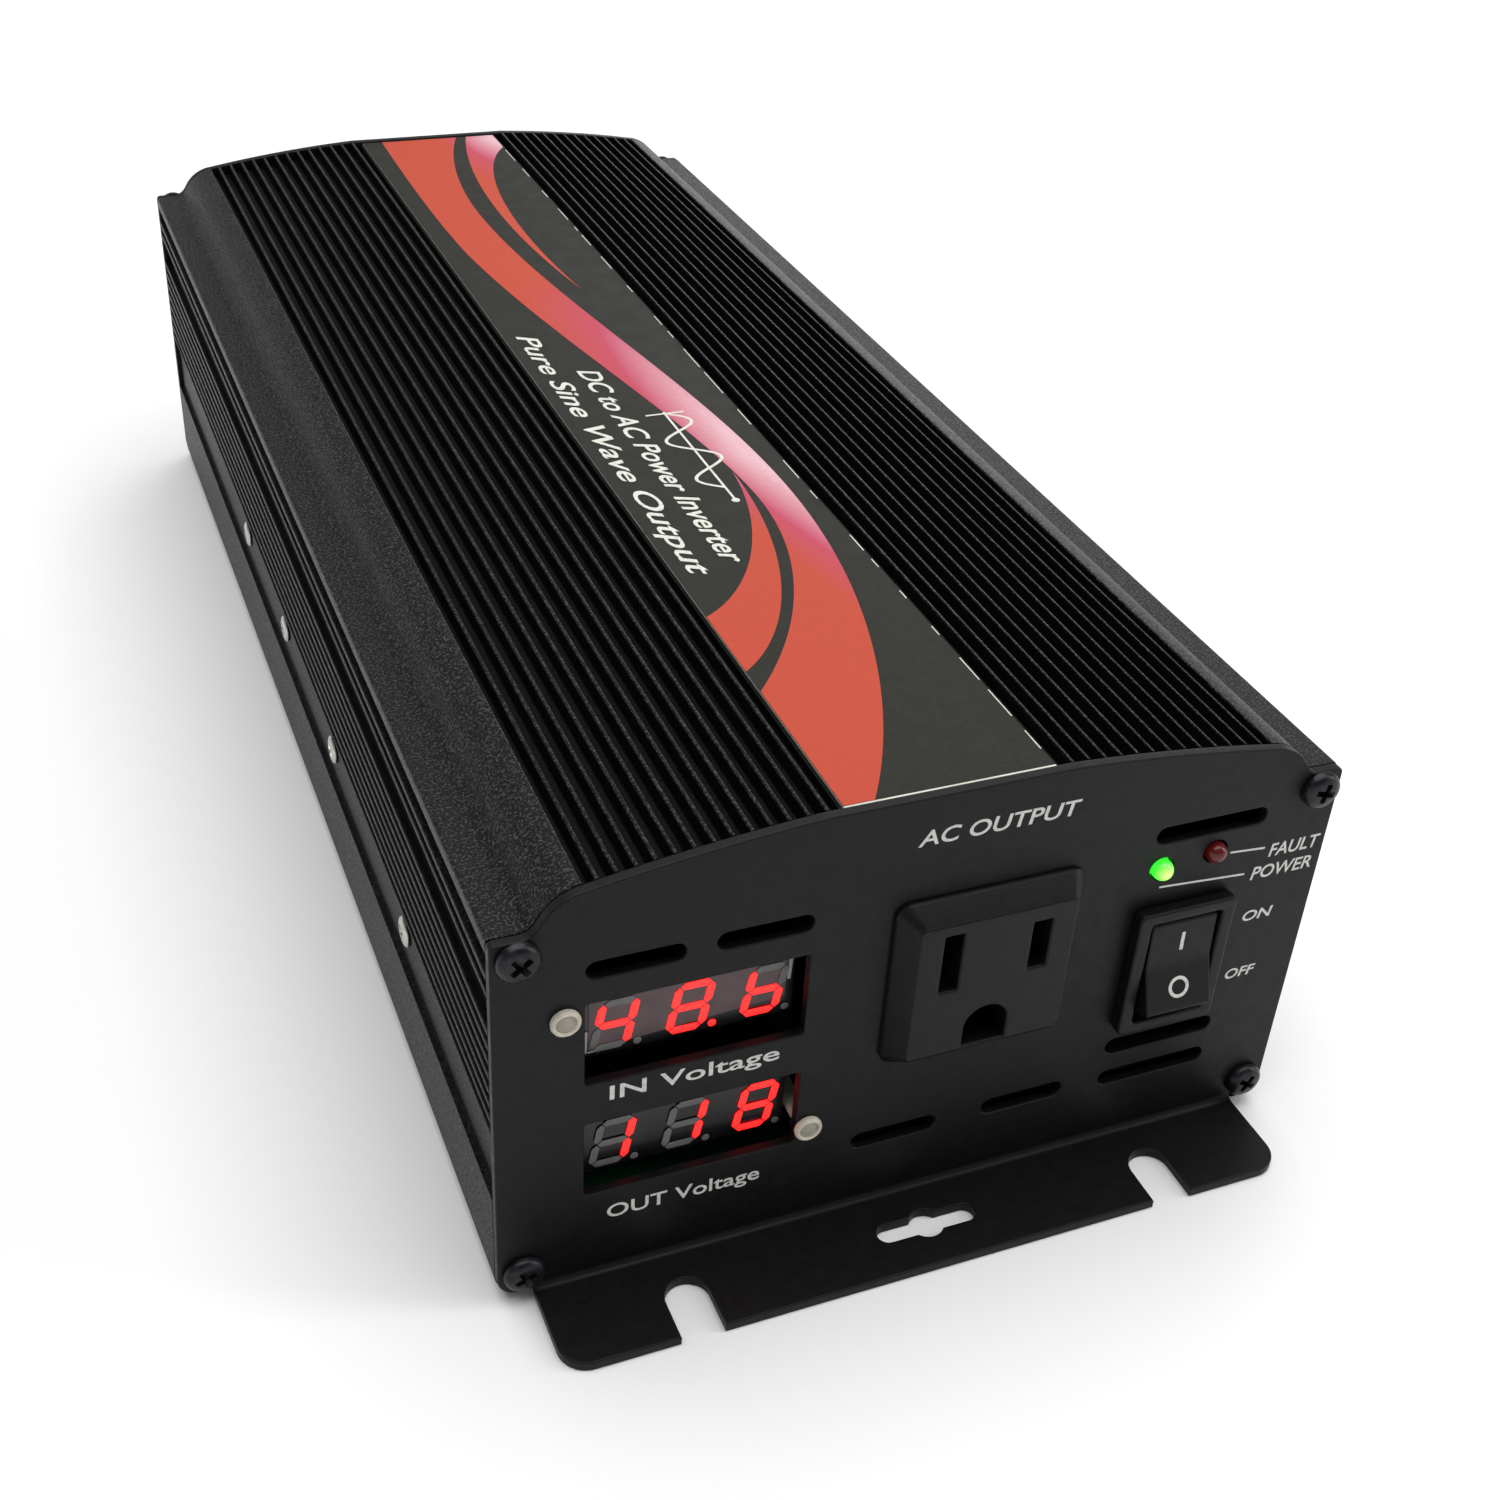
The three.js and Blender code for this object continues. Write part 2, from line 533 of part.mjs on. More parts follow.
function addOutlet() {
  const back = FRONT + OUTLET.depth;
  const tail = back + 5; // end of the contacts' solder tails
  const mouth = FRONT - OUTLET.reach - 1;
  const pocket = FRONT + 4; // the contacts sit in pockets that open to the rear
  const half = OUTLET.cut / 2 - 0.3;
  const block = box(OUTLET.x - half, OUTLET.x + half, FRONT - 0.2, back, OUTLET.z - half, OUTLET.z + half);
  let body = outletFrame().translate([OUTLET.x, FRONT - GAP, OUTLET.z]).add(block);
  for (const { x, height } of BLADES) {
    const low = BLADE_Z - height / 2;
    body = body
      .subtract(box(x - 1.3, x + 1.3, mouth, pocket + 1, low, low + height))
      .subtract(box(x - 2.6, x + 2.6, pocket, back + 1, BLADE_Z - 5.2, BLADE_Z + 5.2));
  }
  part("outlet_body", body.subtract(extrudeY(groundHole(), mouth, back + 1, 8)), "blackPlastic");

  for (const { name, x } of BLADES) {
    const clip = box(x - 2.2, x + 2.2, pocket + 1, tail, BLADE_Z - 4, BLADE_Z + 4)
      .subtract(box(x - 1, x + 1, pocket, back - 1, BLADE_Z - 5, BLADE_Z + 5))
      .subtract(box(x + 1, x + 3, back, tail + 1, BLADE_Z - 5, BLADE_Z + 5))
      .subtract(box(x - 3, x - 1, back, tail + 1, BLADE_Z - 5, BLADE_Z + 5));
    part(`outlet_contact_${name}`, clip, "brass");
  }
  const sleeve = rodY(2.75, FRONT + 8, tail, OUTLET.x, GROUND_Z, 14)
    .subtract(rodY(2.45, FRONT + 7, back, OUTLET.x, GROUND_Z, 14));
  part("outlet_contact_ground", sleeve, "brass");
}

// ---- Rocker switch ----------------------------------------------------------------------------------

function addSwitch() {
  const { x, z } = SWITCH;
  const windowHalfW = 5.5;
  const windowHalfH = 8.7;
  const deep = 15;
  const bezel = roundedRect(new THREE.Shape(),
    x - SWITCH.bezelW / 2, x + SWITCH.bezelW / 2, z - SWITCH.bezelH / 2, z + SWITCH.bezelH / 2, 0.6);
  const bodyHalfW = SWITCH.bodyW / 2;
  const bodyHalfH = SWITCH.bodyH / 2;
  const housing = extrudeY(bezel, FRONT - GAP - SWITCH.bezelT, FRONT - GAP, 3)
    .add(box(x - bodyHalfW, x + bodyHalfW, FRONT - 0.2, FRONT + deep, z - bodyHalfH, z + bodyHalfH))
    .subtract(box(x - windowHalfW, x + windowHalfW, FRONT - 9, FRONT + 9, z - windowHalfH, z + windowHalfH))
    .subtract(rodX(ROCKER.pinRadius + 0.35, x - 9, x + 9, ROCKER.pivotY, z));
  const terminal = box(x - 2.4, x + 2.4, FRONT + deep - 0.5, FRONT + deep + 6, z - 0.4, z + 0.4);
  part("switch_housing",
    housing.add(terminal.translate([0, 0, 5])).add(terminal.translate([0, 0, -5])), "blackPlastic");

  // The rocker about its pivot, before it is tilted: a shallow V that the finger rocks over.
  const profile = shapeOf([
    [-6.2, 7.2], [-5.0, 0], [-6.2, -7.2], [-4.6, -7.6], [-2, -7.9], [1.5, -7.9],
    [4, -3], [4, 3], [1.5, 7.9], [-2, 7.9], [-4.6, 7.6],
  ]);
  const rocker = extrudeX(profile, -ROCKER.width / 2, ROCKER.width / 2)
    .add(rodX(ROCKER.pinRadius, -ROCKER.width / 2 - 0.9, ROCKER.width / 2 + 0.9, 0, 0));
  const tilt = THREE.MathUtils.degToRad(ROCKER.restTilt);
  part("switch_rocker", rocker, "blackPlastic", [x, ROCKER.pivotY, z], [tilt, 0, 0]);
}

// ---- Meters and LEDs --------------------------------------------------------------------------------

function addMeters() {
  const face = FRONT + SHEET + DISPLAY_BACK;
  const back = face + DISPLAY_DEPTH;
  for (const { name, z0, z1 } of WINDOWS) {
    part(`${name}_display`,
      box(WINDOW_LEFT + 0.3, WINDOW_RIGHT - 0.3, face, back, z0 + 0.3, z1 - 0.3), "displayFace");
  }
  let board = box(-52, -14, back + GAP, back + GAP + BOARD_THICK, 14.5, 50.5);
  for (const [x, z] of RIVETS) board = board.subtract(rodY(1.5, back - 1, back + 4, x, z, 12));
  part("display_board", board, "board");
  const length = back + GAP + BOARD_THICK + 1 - FRONT;
  const rivet = turnedY([
    [0, -0.9], [1.3, -0.8], [1.9, -0.4], [1.9, 0], [1.3, 0], [1.3, length], [0, length],
  ], 14);
  RIVETS.forEach(([x, z], i) => {
    part(`display_rivet_${i + 1}`, rivet, "whitePlastic", [x, FRONT - GAP, z]);
  });
}

function addLeds() {
  const rim = SHEET + GAP;
  const led = turnedY([
    [0, -1.6], [0.8, -1.4], [1.3, -0.9], [1.5, -0.1], [1.5, rim], [2, rim], [2, rim + 1], [0, rim + 1],
  ], 14);
  for (const [name, [x, z, colour]] of Object.entries(LEDS)) part(name, led, colour, [x, FRONT, z]);
}

// ---- Fan --------------------------------------------------------------------------------------------

function fanBlade() {
  const chord = 8.5;
  const thickness = 1.1;
  const blade = new THREE.BoxGeometry(thickness, chord, FAN.tip - FAN.hub + 4);
  const pitch = THREE.MathUtils.degToRad(48);
  return solid(blade.translate(0, 0, (FAN.tip + FAN.hub) / 2).rotateZ(pitch));
}

function addFan() {
  const back = SHELL_REAR; // the frame seats on the rear plate
  const front = back - FAN.depth;
  const { x, z, half } = FAN;
  const outline = roundedRect(new THREE.Shape(), x - half, x + half, z - half, z + half, 2.5);
  outline.holes.push(circle(x, z, FAN.duct));
  for (const side of [-FAN.screw, FAN.screw]) {
    outline.holes.push(circle(x + side, z - FAN.screw, SCREW_HOLE));
    outline.holes.push(circle(x + side, z + FAN.screw, SCREW_HOLE));
  }
  const plate = 2; // thickness of the motor plate and its struts
  let frame = extrudeY(outline, front, back, 8);
  frame = frame.add(rodY(FAN.hub - 0.5, front, front + plate, x, z));
  for (const turn of [25, 145, 265]) {
    const strut = box(-1.5, 1.5, 0, plate, FAN.hub - 2, FAN.duct + 1).rotate([0, turn, 0]);
    frame = frame.add(strut.translate([x, front, z]));
  }
  frame = frame.subtract(rodY(1.5, front - 1, front + plate + 1, x, z, 12));
  part("fan_frame", frame, "blackPlastic");

  const blades = 7;
  let rotor = rodY(FAN.hub, -5, 5.5).add(rodY(1, -7.2, -4, 0, 0, 12));
  for (let i = 0; i < blades; i++) rotor = rotor.add(fanBlade().rotate([0, (i * 360) / blades, 0]));
  rotor = rotor.intersect(rodY(FAN.tip, -8, 5.5, 0, 0, 28));
  part("fan_rotor", rotor, "blackPlastic", [x, front + FAN.depth / 2 + 0.5, z]);

  const screw = panScrew(2.7, 1.6, 1.25, 12);
  let count = 0;
  for (const side of [-FAN.screw, FAN.screw]) {
    for (const rise of [-FAN.screw, FAN.screw]) {
      count += 1;
      part(`fan_screw_${count}`, screw, "blackScrew", [x + side, REAR + GAP, z + rise], [0, 0, Math.PI]);
    }
  }
}

// ---- DC terminals and earth screw -------------------------------------------------------------------

// A knob with shallow flutes and a blind hole for the stud, its mouth at y = 0.
function terminalKnob(length) {
  const outline = new THREE.Shape();
  const flutes = 12;
  const steps = flutes * 4;
  for (let i = 0; i < steps; i++) {
    const angle = (i / steps) * 2 * Math.PI;
    const radius = 7.4 + 0.4 * Math.cos(flutes * angle);
    const point = [radius * Math.cos(angle), radius * Math.sin(angle)];
    if (i) outline.lineTo(...point);
    else outline.moveTo(...point);
  }
  const skirt = rodY(8, 0, 1.5, 0, 0, 24);
  return extrudeY(outline, 1.4, length).add(skirt).subtract(rodY(3.3, -1, length - 3, 0, 0, 16));
}

function addTerminals() {
  const baseFace = 3;
  const washerAt = baseFace + GAP + 0.1;
  const washerThick = 1.2;
  const knobAt = washerAt + washerThick + 0.1;
  for (const [name, [x, z, colour]] of Object.entries(TERMINALS)) {
    const base = rodY(8, GAP, baseFace, 0, 0, 24)
      .add(rodY(4.4, -6, 1, 0, 0, 16))
      .subtract(rodY(3.2, -7, baseFace + 1, 0, 0, 16));
    part(`${name}_terminal_base`, base, colour, [x, REAR, z]);
    const stud = rodY(2.9, -11, 20, 0, 0, 16).add(rodY(5.2, -12, -7, 0, 0, 6));
    part(`${name}_terminal_stud`, stud, "brass", [x, REAR, z]);
    const washer = rodY(6.4, 0, washerThick, 0, 0, 20)
      .subtract(rodY(3.3, -1, washerThick + 1, 0, 0, 16));
    part(`${name}_terminal_washer`, washer, "steel", [x, REAR + washerAt, z]);
    part(`${name}_terminal_knob`, terminalKnob(KNOB_REACH - knobAt), colour, [x, REAR + knobAt, z]);
  }
  const earth = panScrew(4, 2.4, 1.9, 10, 16);
  const [x, z] = EARTH_SCREW;
  part("earth_screw", earth, "steel", [x, REAR + GAP, z], [0, 0, Math.PI]);
}

// ---- Power electronics ------------------------------------------------------------------------------

// A closed double-E core with its coil around the middle leg; both stand on the main board.
function addTransformer(name, x, y) {
  const halfW = 21;
  const legHalf = 6;
  const windowTop = 26.5;
  const core = new THREE.Shape();
  roundedRect(core, -halfW, halfW, 0, 32, 0.6);
  const windowFar = legHalf + 8.5;
  core.holes.push(roundedRect(new THREE.Path(), -windowFar, -legHalf, 5.5, windowTop, 0.3));
  core.holes.push(roundedRect(new THREE.Path(), legHalf, windowFar, 5.5, windowTop, 0.3));
  const stand = BOARD_TOP + GAP;
  part(`${name}_core`, extrudeY(core, -7.5, 7.5, 2), "ferrite", [x, y, stand]);
  const coil = roundedRect(new THREE.Shape(), -14.1, 14.1, -15, 15, 3);
  coil.holes.push(roundedRect(new THREE.Path(), -legHalf - 0.3, legHalf + 0.3, -7.8, 7.8, 0.3));
  part(`${name}_coil`, extrudeZ(coil, 5.8, windowTop - 0.3, 3), "tape", [x, y, stand]);
}

function addCapacitor(name, x, y, radius, height) {
  const can = turnedY([
    [0, 0], [radius - 0.4, 0], [radius, 0.6], [radius, 2.2], [radius - 0.6, 2.9], [radius, 3.6],
    [radius, height - 0.6], [radius - 0.6, height], [0, height],
  ], 18);
  part(name, can, "sleeve", [x, y, BOARD_TOP + GAP], [Math.PI / 2, 0, 0]);
}

function addElectronics() {
  part("main_board", box(-54.6, 54.6, FRONT + 4, SHELL_REAR - FAN.depth - 3, BOARD_Z, BOARD_TOP), "board");
  addTransformer("transformer_1", -18, -38);
  addTransformer("transformer_2", -18, 2);
  addCapacitor("bus_capacitor", 26, -30, 12.5, 33);
  addCapacitor("input_capacitor_1", 18, 62, 8, 33);
  addCapacitor("input_capacitor_2", 38, 62, 8, 33);
  const choke = new THREE.TorusGeometry(12, 5.5, 8, 20);
  part("filter_choke", choke, "copper", [28, -80, BOARD_TOP + 5.7]);
  const first = SIDE_SCREWS_Y[0] - 12;
  const last = SIDE_SCREWS_Y.at(-1) + 12;
  for (const [side, x0, x1] of [["left", -50.6, -47.2], ["right", 47.2, 50.6]]) {
    let bar = box(x0, x1, first, last, SIDE_SCREW_Z - 5, SIDE_SCREW_Z + 5);
    for (const y of SIDE_SCREWS_Y) {
      bar = bar.subtract(rodX(SCREW_HOLE, x0 - 1, x1 + 1, y, SIDE_SCREW_Z, 12));
    }
    part(`${side}_clamp_bar`, bar, "aluminium");
  }
}

addHousing();
addFrontPlate();
addRearPlate();
addFasteners();
addOutlet();
addSwitch();
addMeters();
addLeds();
addFan();
addTerminals();
addElectronics();

export default inverter;
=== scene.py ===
"""Looks for a DC to AC power inverter: a black finned aluminium housing between two powder-coated end
plates. The front plate has an outlet, a rocker switch, two voltmeters and two LEDs, and the rear plate
has the fan, the DC terminals and the earth screw.

The drawing code works in millimetres, and mesh_of() turns its results into metres."""
import math
import random
import bmesh
import bpy
from mathutils import Matrix, Vector


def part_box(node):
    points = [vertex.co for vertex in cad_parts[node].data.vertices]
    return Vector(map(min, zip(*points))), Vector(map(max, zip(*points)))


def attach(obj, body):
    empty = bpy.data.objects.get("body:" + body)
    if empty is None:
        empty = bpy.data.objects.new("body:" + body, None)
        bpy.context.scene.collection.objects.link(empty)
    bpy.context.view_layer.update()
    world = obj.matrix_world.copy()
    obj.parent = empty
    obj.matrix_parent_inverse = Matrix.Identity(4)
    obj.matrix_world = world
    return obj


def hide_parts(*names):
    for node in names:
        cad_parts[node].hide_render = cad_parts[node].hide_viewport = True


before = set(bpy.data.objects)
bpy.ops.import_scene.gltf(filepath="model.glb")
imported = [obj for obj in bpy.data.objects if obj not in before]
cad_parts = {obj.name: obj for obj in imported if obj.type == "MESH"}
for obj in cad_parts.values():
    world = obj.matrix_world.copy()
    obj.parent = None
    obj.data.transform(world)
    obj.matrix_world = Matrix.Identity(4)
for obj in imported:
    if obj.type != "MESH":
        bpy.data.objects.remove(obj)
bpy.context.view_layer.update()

MM = 0.001
ROOT = "housing"


def box_mm(node):
    low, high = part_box(node)
    return low / MM, high / MM


# ---- Driving dimensions, in millimetres ----

SHEET = 1.5
FRONT = box_mm("front_plate")[1].y - SHEET  # outer face of the front plate
REAR = box_mm("rear_plate")[0].y + SHEET  # outer face of the rear plate
SHELL_FRONT = box_mm("upper_shell")[0].y
SHELL_REAR = box_mm("upper_shell")[1].y

HALF_WIDTH = box_mm("upper_shell")[1].x
FLANGE_REACH = FRONT - box_mm("front_plate")[0].y
FLANGE_HALF = 53.75
BODY_BOTTOM = box_mm("lower_shell")[0].z
PLATE_BOTTOM = 1.2
CORNER_RADIUS = 3
SHOULDER_Z = 60.5
SHOULDER_END = 54.6
ARCH_APEX_Z = 69.9
ARCH_RADIUS = 275
ARCH_HALF = 47.8
CREST_HALF = 16.5

RIB_PITCH = 2.38
RIB_WIDTH = 1.0
RIB_TAPER = 0.29  # how far each flank of a rib leans in
TOP_RIBS = 13
FIRST_RIB_X = 16.1
GROOVE_DEPTH = 2.0
SEAT_HALF = 14.9
SEAT_Z = 68.8
SIDE_RIBS = 8
SIDE_RIB_TOP = 46.6
SIDE_RIB_LOW = SIDE_RIB_TOP - (SIDE_RIBS - 1) * RIB_PITCH
SIDE_GROOVE_DEPTH = 1.3
TRAY_TOP = 55.3
WALL = 3.6  # from the arch to the inside of the cover
BAND_LOW = 17.8
BAND_HIGH = 29.3

OUTLET_X = 6.7
OUTLET_Z = 40.4
BLADE_Z = 44.9
BLADE_SPACING = 12.7
GROUND_DROP = 11.9
GROUND_Z = BLADE_Z - GROUND_DROP
GROUND_RADIUS = 3.1
# The middle and the height of each blade slot: neutral is the taller one.
BLADE_SLOTS = [(OUTLET_X - BLADE_SPACING / 2, 9.2), (OUTLET_X + BLADE_SPACING / 2, 7.6)]
SWITCH_X = 36.9
SWITCH_Z = 33.2
PIVOT_Y = FRONT + 3
REST_TILT = math.radians(-11)

WINDOW_LEFT = -46.9
WINDOW_RIGHT = -17.8
WINDOWS = [(35.4, 48.6), (16.1, 28.7)]
VENTS = [
    (-46.9, -34.3, 53.7), (-30.4, -17.7, 53.8), (30.6, 47.6, 55.3), (29.4, 46.7, 18.7),
    (29.3, 46.5, 12.7), (10.6, 23.2, 13.1), (-9.2, 3.5, 13.0),
]
VENT_RADIUS = 1.35
RIVETS = [(-49.5, 47.0), (-16.1, 18.5)]
LEDS = {"power_led": (32.4, 49.8), "fault_led": (40.5, 50.8)}
CORNER_SCREWS = [(-55.1, 58.0), (55.1, 58.0), (-55.1, 5.2), (55.1, 5.2)]
SCREW_HOLE = 1.6  # holes: radius, or half the width and height
LED_HOLE = 1.8
TERMINAL_HOLE = 4.7
EARTH_HOLE = 2.3
OUTLET_HOLE = (12.1, 12.1)
SWITCH_HOLE = (6.65, 9.75)
SLOT_X = 35.2
SLOT_RADIUS = 3.05
SLOT_CENTRE = 5.95  # from the flange's edge
KEYHOLE_FROM_EDGE = 6.9

FAN_X = -26
FAN_Z = 33.3
GRILLE_RADII = (8.5, 12.7, 16.9, 21.1)
GRILLE_SLOT = 2.6
FAN_SCREW = 20  # the fan screws' distance from its axis, along x and z
FAN_SCREWS = [(FAN_X + x, FAN_Z + z) for x in (-FAN_SCREW, FAN_SCREW) for z in (-FAN_SCREW, FAN_SCREW)]
TERMINALS = {"positive": (18, 24), "negative": (43, 24)}
EARTH_SCREW = (30.5, 47)


# ---- Outlines: lists of (x, y) points ----

def arc(x, y, radius, start, end, steps):
    """Points on an arc; the angles are in degrees."""
    angles = [math.radians(start + (end - start) * i / steps) for i in range(steps + 1)]
    return [(x + radius * math.cos(a), y + radius * math.sin(a)) for a in angles]


def circle(x, y, radius, steps=48):
    return arc(x, y, radius, 0, 360, steps)[:-1]


def stadium(x0, x1, y, radius, steps=10):
    """A slot with round ends."""
    return arc(x1 - radius, y, radius, -90, 90, steps) + arc(x0 + radius, y, radius, 90, 270, steps)


def rectangle(x0, x1, y0, y1, radius, steps):
    """A rectangle with round corners."""
    return (
        arc(x1 - radius, y0 + radius, radius, -90, 0, steps)
        + arc(x1 - radius, y1 - radius, radius, 0, 90, steps)
        + arc(x0 + radius, y1 - radius, radius, 90, 180, steps)
        + arc(x0 + radius, y0 + radius, radius, 180, 270, steps)
    )


def centred(x, y, half_x, half_y, radius, steps):
    """A rectangle about its middle."""
    return rectangle(x - half_x, x + half_x, y - half_y, y + half_y, radius, steps)


def bezier(a, b, c, d, steps):
    """Points on a cubic curve from a to d."""
    points = []
    for i in range(steps + 1):
        t = i / steps
        weights = ((1 - t) ** 3, 3 * t * (1 - t) ** 2, 3 * t * t * (1 - t), t ** 3)
        points.append(tuple(sum(w * p[k] for w, p in zip(weights, (a, b, c, d))) for k in (0, 1)))
    return points


def mirrored(points):
    return [(-x, y) for x, y in reversed(points)]


def filleted(points, radius, steps=3, closed=True):
    """Rounds each clear corner of an outline, but not the two ends of an open one."""
    result = []
    count = len(points)
    for i in range(count):
        corner = Vector(points[i])
        if not closed and i in (0, count - 1):
            result.append(tuple(corner))
            continue
        back = Vector(points[i - 1]) - corner
        ahead = Vector(points[(i + 1) % count]) - corner
        if math.pi - back.angle(ahead) < math.radians(25):
            result.append(tuple(corner))
            continue
        reach = min(radius, 0.4 * back.length, 0.4 * ahead.length)
        start = corner + back.normalized() * reach
        end = corner + ahead.normalized() * reach
        for k in range(steps + 1):
            t = k / steps
            result.append(tuple(start * (1 - t) ** 2 + corner * 2 * t * (1 - t) + end * t * t))
    return result


# ---- Meshes ----

def at(x, y, z):
    return Matrix.Translation((x, y, z))


def spun(degrees, axis):
    return Matrix.Rotation(math.radians(degrees), 4, axis)


def facing(direction):
    """Turns +Z to the given direction."""
    return Vector(direction).to_track_quat("Z", "Y").to_matrix().to_4x4()


FORWARD = (0, -1, 0)
BACKWARD = (0, 1, 0)
# Turns a drawing in (x, y) that faces +Z into one in (x, z) that faces -Y.
FACE_FRONT = spun(90, "X")
# The same, turned round to face +Y: +x of the drawing then points to -X.
FACE_REAR = spun(180, "Z") @ FACE_FRONT
Z_TO_Y = spun(-90, "X")


def added(name, data):
    """A new object in the scene."""
    obj = bpy.data.objects.new(name, data)
    bpy.context.scene.collection.objects.link(obj)
    return obj


def discard(obj):
    """Removes an object and its data."""
    data = obj.data
    bpy.data.objects.remove(obj)
    (bpy.data.curves if isinstance(data, bpy.types.Curve) else bpy.data.meshes).remove(data)


def evaluated(obj):
    """The mesh that an object shows, as a bmesh; the object itself is removed."""
    bpy.context.view_layer.update()
    mesh = bpy.data.meshes.new_from_object(obj.evaluated_get(bpy.context.evaluated_depsgraph_get()))
    bm = bmesh.new()
    bm.from_mesh(mesh)
    bpy.data.meshes.remove(mesh)
    discard(obj)
    return bm


def merged(bm):
    """Joins points that lie on each other."""
    bmesh.ops.remove_doubles(bm, verts=bm.verts, dist=1e-4)
    return bm


def rounded(bm, edges, radius, steps):
    bmesh.ops.bevel(bm, geom=edges, offset=radius, segments=steps, profile=0.5, affect="EDGES")
    return bm


def add_line(curve, points, closed):
    spline = curve.splines.new("POLY")
    spline.points.add(len(points) - 1)
    for point, place in zip(spline.points, points):
        point.co = (*place, 1)
    spline.use_cyclic_u = closed


def sheet(outlines, thickness, edge, steps):
    """A flat plate with holes: the first outline is its rim, the plate reaches from z = -thickness to 0,
    and edge is the radius of its rounded edges."""
    curve = bpy.data.curves.new("outline", "CURVE")
    curve.dimensions = "2D"
    curve.fill_mode = "BOTH"
    curve.extrude = thickness / 2 - edge
    curve.bevel_depth = edge
    curve.bevel_resolution = steps
    curve.offset = -edge
    for outline in outlines:
        add_line(curve, [(x, y, 0) for x, y in outline], True)
    return moved(merged(evaluated(added("outline", curve))), at(0, 0, -thickness / 2))


def ink(outlines):
    """A thin layer of printing."""
    return sheet(outlines, 0.03, 0.005, 1)


def moved(bm, *matrices):
    """Applies the matrices in the order given."""
    for matrix in matrices:
        bmesh.ops.transform(bm, verts=bm.verts, matrix=matrix)
    return bm


def joined(*parts):
    """One bmesh of several; the others are freed."""
    whole = bmesh.new()
    for bm in parts:
        mesh = bpy.data.meshes.new("part")
        bm.to_mesh(mesh)
        bm.free()
        whole.from_mesh(mesh)
        bpy.data.meshes.remove(mesh)
    return whole


def loft(rings, caps=True):
    """Skins closed rings of equally many points; a ring of one point is a pole."""
    bm = bmesh.new()
    rows = [[bm.verts.new(p) for p in ring] for ring in rings]
    for low, high in zip(rows, rows[1:]):
        count = max(len(low), len(high))
        for i in range(count):
            j = (i + 1) % count
            corners = [low[i % len(low)], low[j % len(low)], high[j % len(high)], high[i % len(high)]]
            bm.faces.new(list(dict.fromkeys(corners)))
    if caps:
        if len(rows[0]) > 1:
            bm.faces.new(list(reversed(rows[0])))
        if len(rows[-1]) > 1:
            bm.faces.new(rows[-1])
    bmesh.ops.recalc_face_normals(bm, faces=bm.faces)
    return bm


def turned(profile, sides=48):
    """Turns (radius, height) points around Z."""
    rings = []
    for radius, height in profile:
        if radius == 0:
            rings.append([(0, 0, height)])
        else:
            rings.append([(x, y, height) for x, y in circle(0, 0, radius, sides)])
    return loft(rings)


def prism_y(points, y0, y1):
    """An outline in (x, z) extruded along Y."""
    return loft([[(x, y, z) for x, z in points] for y in (y0, y1)])


def block(x0, x1, y0, y1, z0, z1, edge=0.3):
    """A box with rounded edges."""
    bm = bmesh.new()
    bmesh.ops.create_cube(bm, size=1)
    centre = ((x0 + x1) / 2, (y0 + y1) / 2, (z0 + z1) / 2)
    moved(bm, Matrix.Diagonal((x1 - x0, y1 - y0, z1 - z0, 1)), at(*centre))
    return rounded(bm, bm.edges[:], edge, 2)


def mesh_of(bm, name="mesh"):
    """Turns a drawing into a mesh in metres."""
    mesh = bpy.data.meshes.new(name)
    moved(bm, Matrix.Scale(MM, 4)).to_mesh(mesh)
    bm.free()
    return mesh


def carved(bm, *cutters):
    """Cuts closed meshes out of a closed mesh; edges come out sharp."""
    obj = added("carved", mesh_of(bm))
    tools = [added("cutter", mesh_of(cutter)) for cutter in cutters]
    for tool in tools:
        modifier = obj.modifiers.new("cut", "BOOLEAN")
        modifier.operation = "DIFFERENCE"
        modifier.solver = "EXACT"
        modifier.object = tool
    result = evaluated(obj)
    for tool in tools:
        discard(tool)
    return moved(result, Matrix.Scale(1 / MM, 4))


def two_tone(bm, is_second):
    """Gives a piece's second material to the faces that pass the test."""
    for face in bm.faces:
        face.material_index = int(is_second(face))
    return bm


INK_DEPTH = 0.07  # lettering is sunk a little into what it stands on
LEGEND_WEIGHT = 0.03  # how much the plates' legends are thickened


def letters(text, x0, x1, y0, y1, slant, weight):
    """Lettering in the built-in font that fills the given rectangle, from z = -INK_DEPTH to 0."""
    curve = bpy.data.curves.new("letters", "FONT")
    curve.body = text
    curve.size = y1 - y0
    curve.offset = weight
    curve.shear = slant
    curve.resolution_u = 4
    curve.extrude = INK_DEPTH / 2
    bm = merged(evaluated(added("letters", curve)))
    lows = [min(v.co[k] for v in bm.verts) for k in (0, 1)]
    highs = [max(v.co[k] for v in bm.verts) for k in (0, 1)]
    fit = Matrix.Diagonal(((x1 - x0) / (highs[0] - lows[0]), (y1 - y0) / (highs[1] - lows[1]), 1, 1))
    return moved(bm, at(-lows[0], -lows[1], -INK_DEPTH / 2), fit, at(x0, y0, 0))


# ---- Pieces ----

# The angle between two faces, in degrees, from which their edge is shaded sharp.
CREASE = 35
CREASE_SHEET = 40


def piece(name, shape, material, body=ROOT, replaces=(), sharp=CREASE, place=None):
    """Adds a finished piece. shape is a bmesh in millimetres, or a mesh that another piece already has."""
    mesh = mesh_of(shape, name) if isinstance(shape, bmesh.types.BMesh) else shape
    if not mesh.materials:
        for item in material if isinstance(material, list) else [material]:
            mesh.materials.append(item)
    mesh.shade_smooth()
    mesh.set_sharp_from_angle(angle=math.radians(sharp))
    obj = added(name, mesh)
    if place:
        obj.matrix_world = place
    weighted = obj.modifiers.new("even_shading", "WEIGHTED_NORMAL")
    weighted.keep_sharp = True
    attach(obj, body)
    if replaces:
        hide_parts(*([replaces] if isinstance(replaces, str) else replaces))


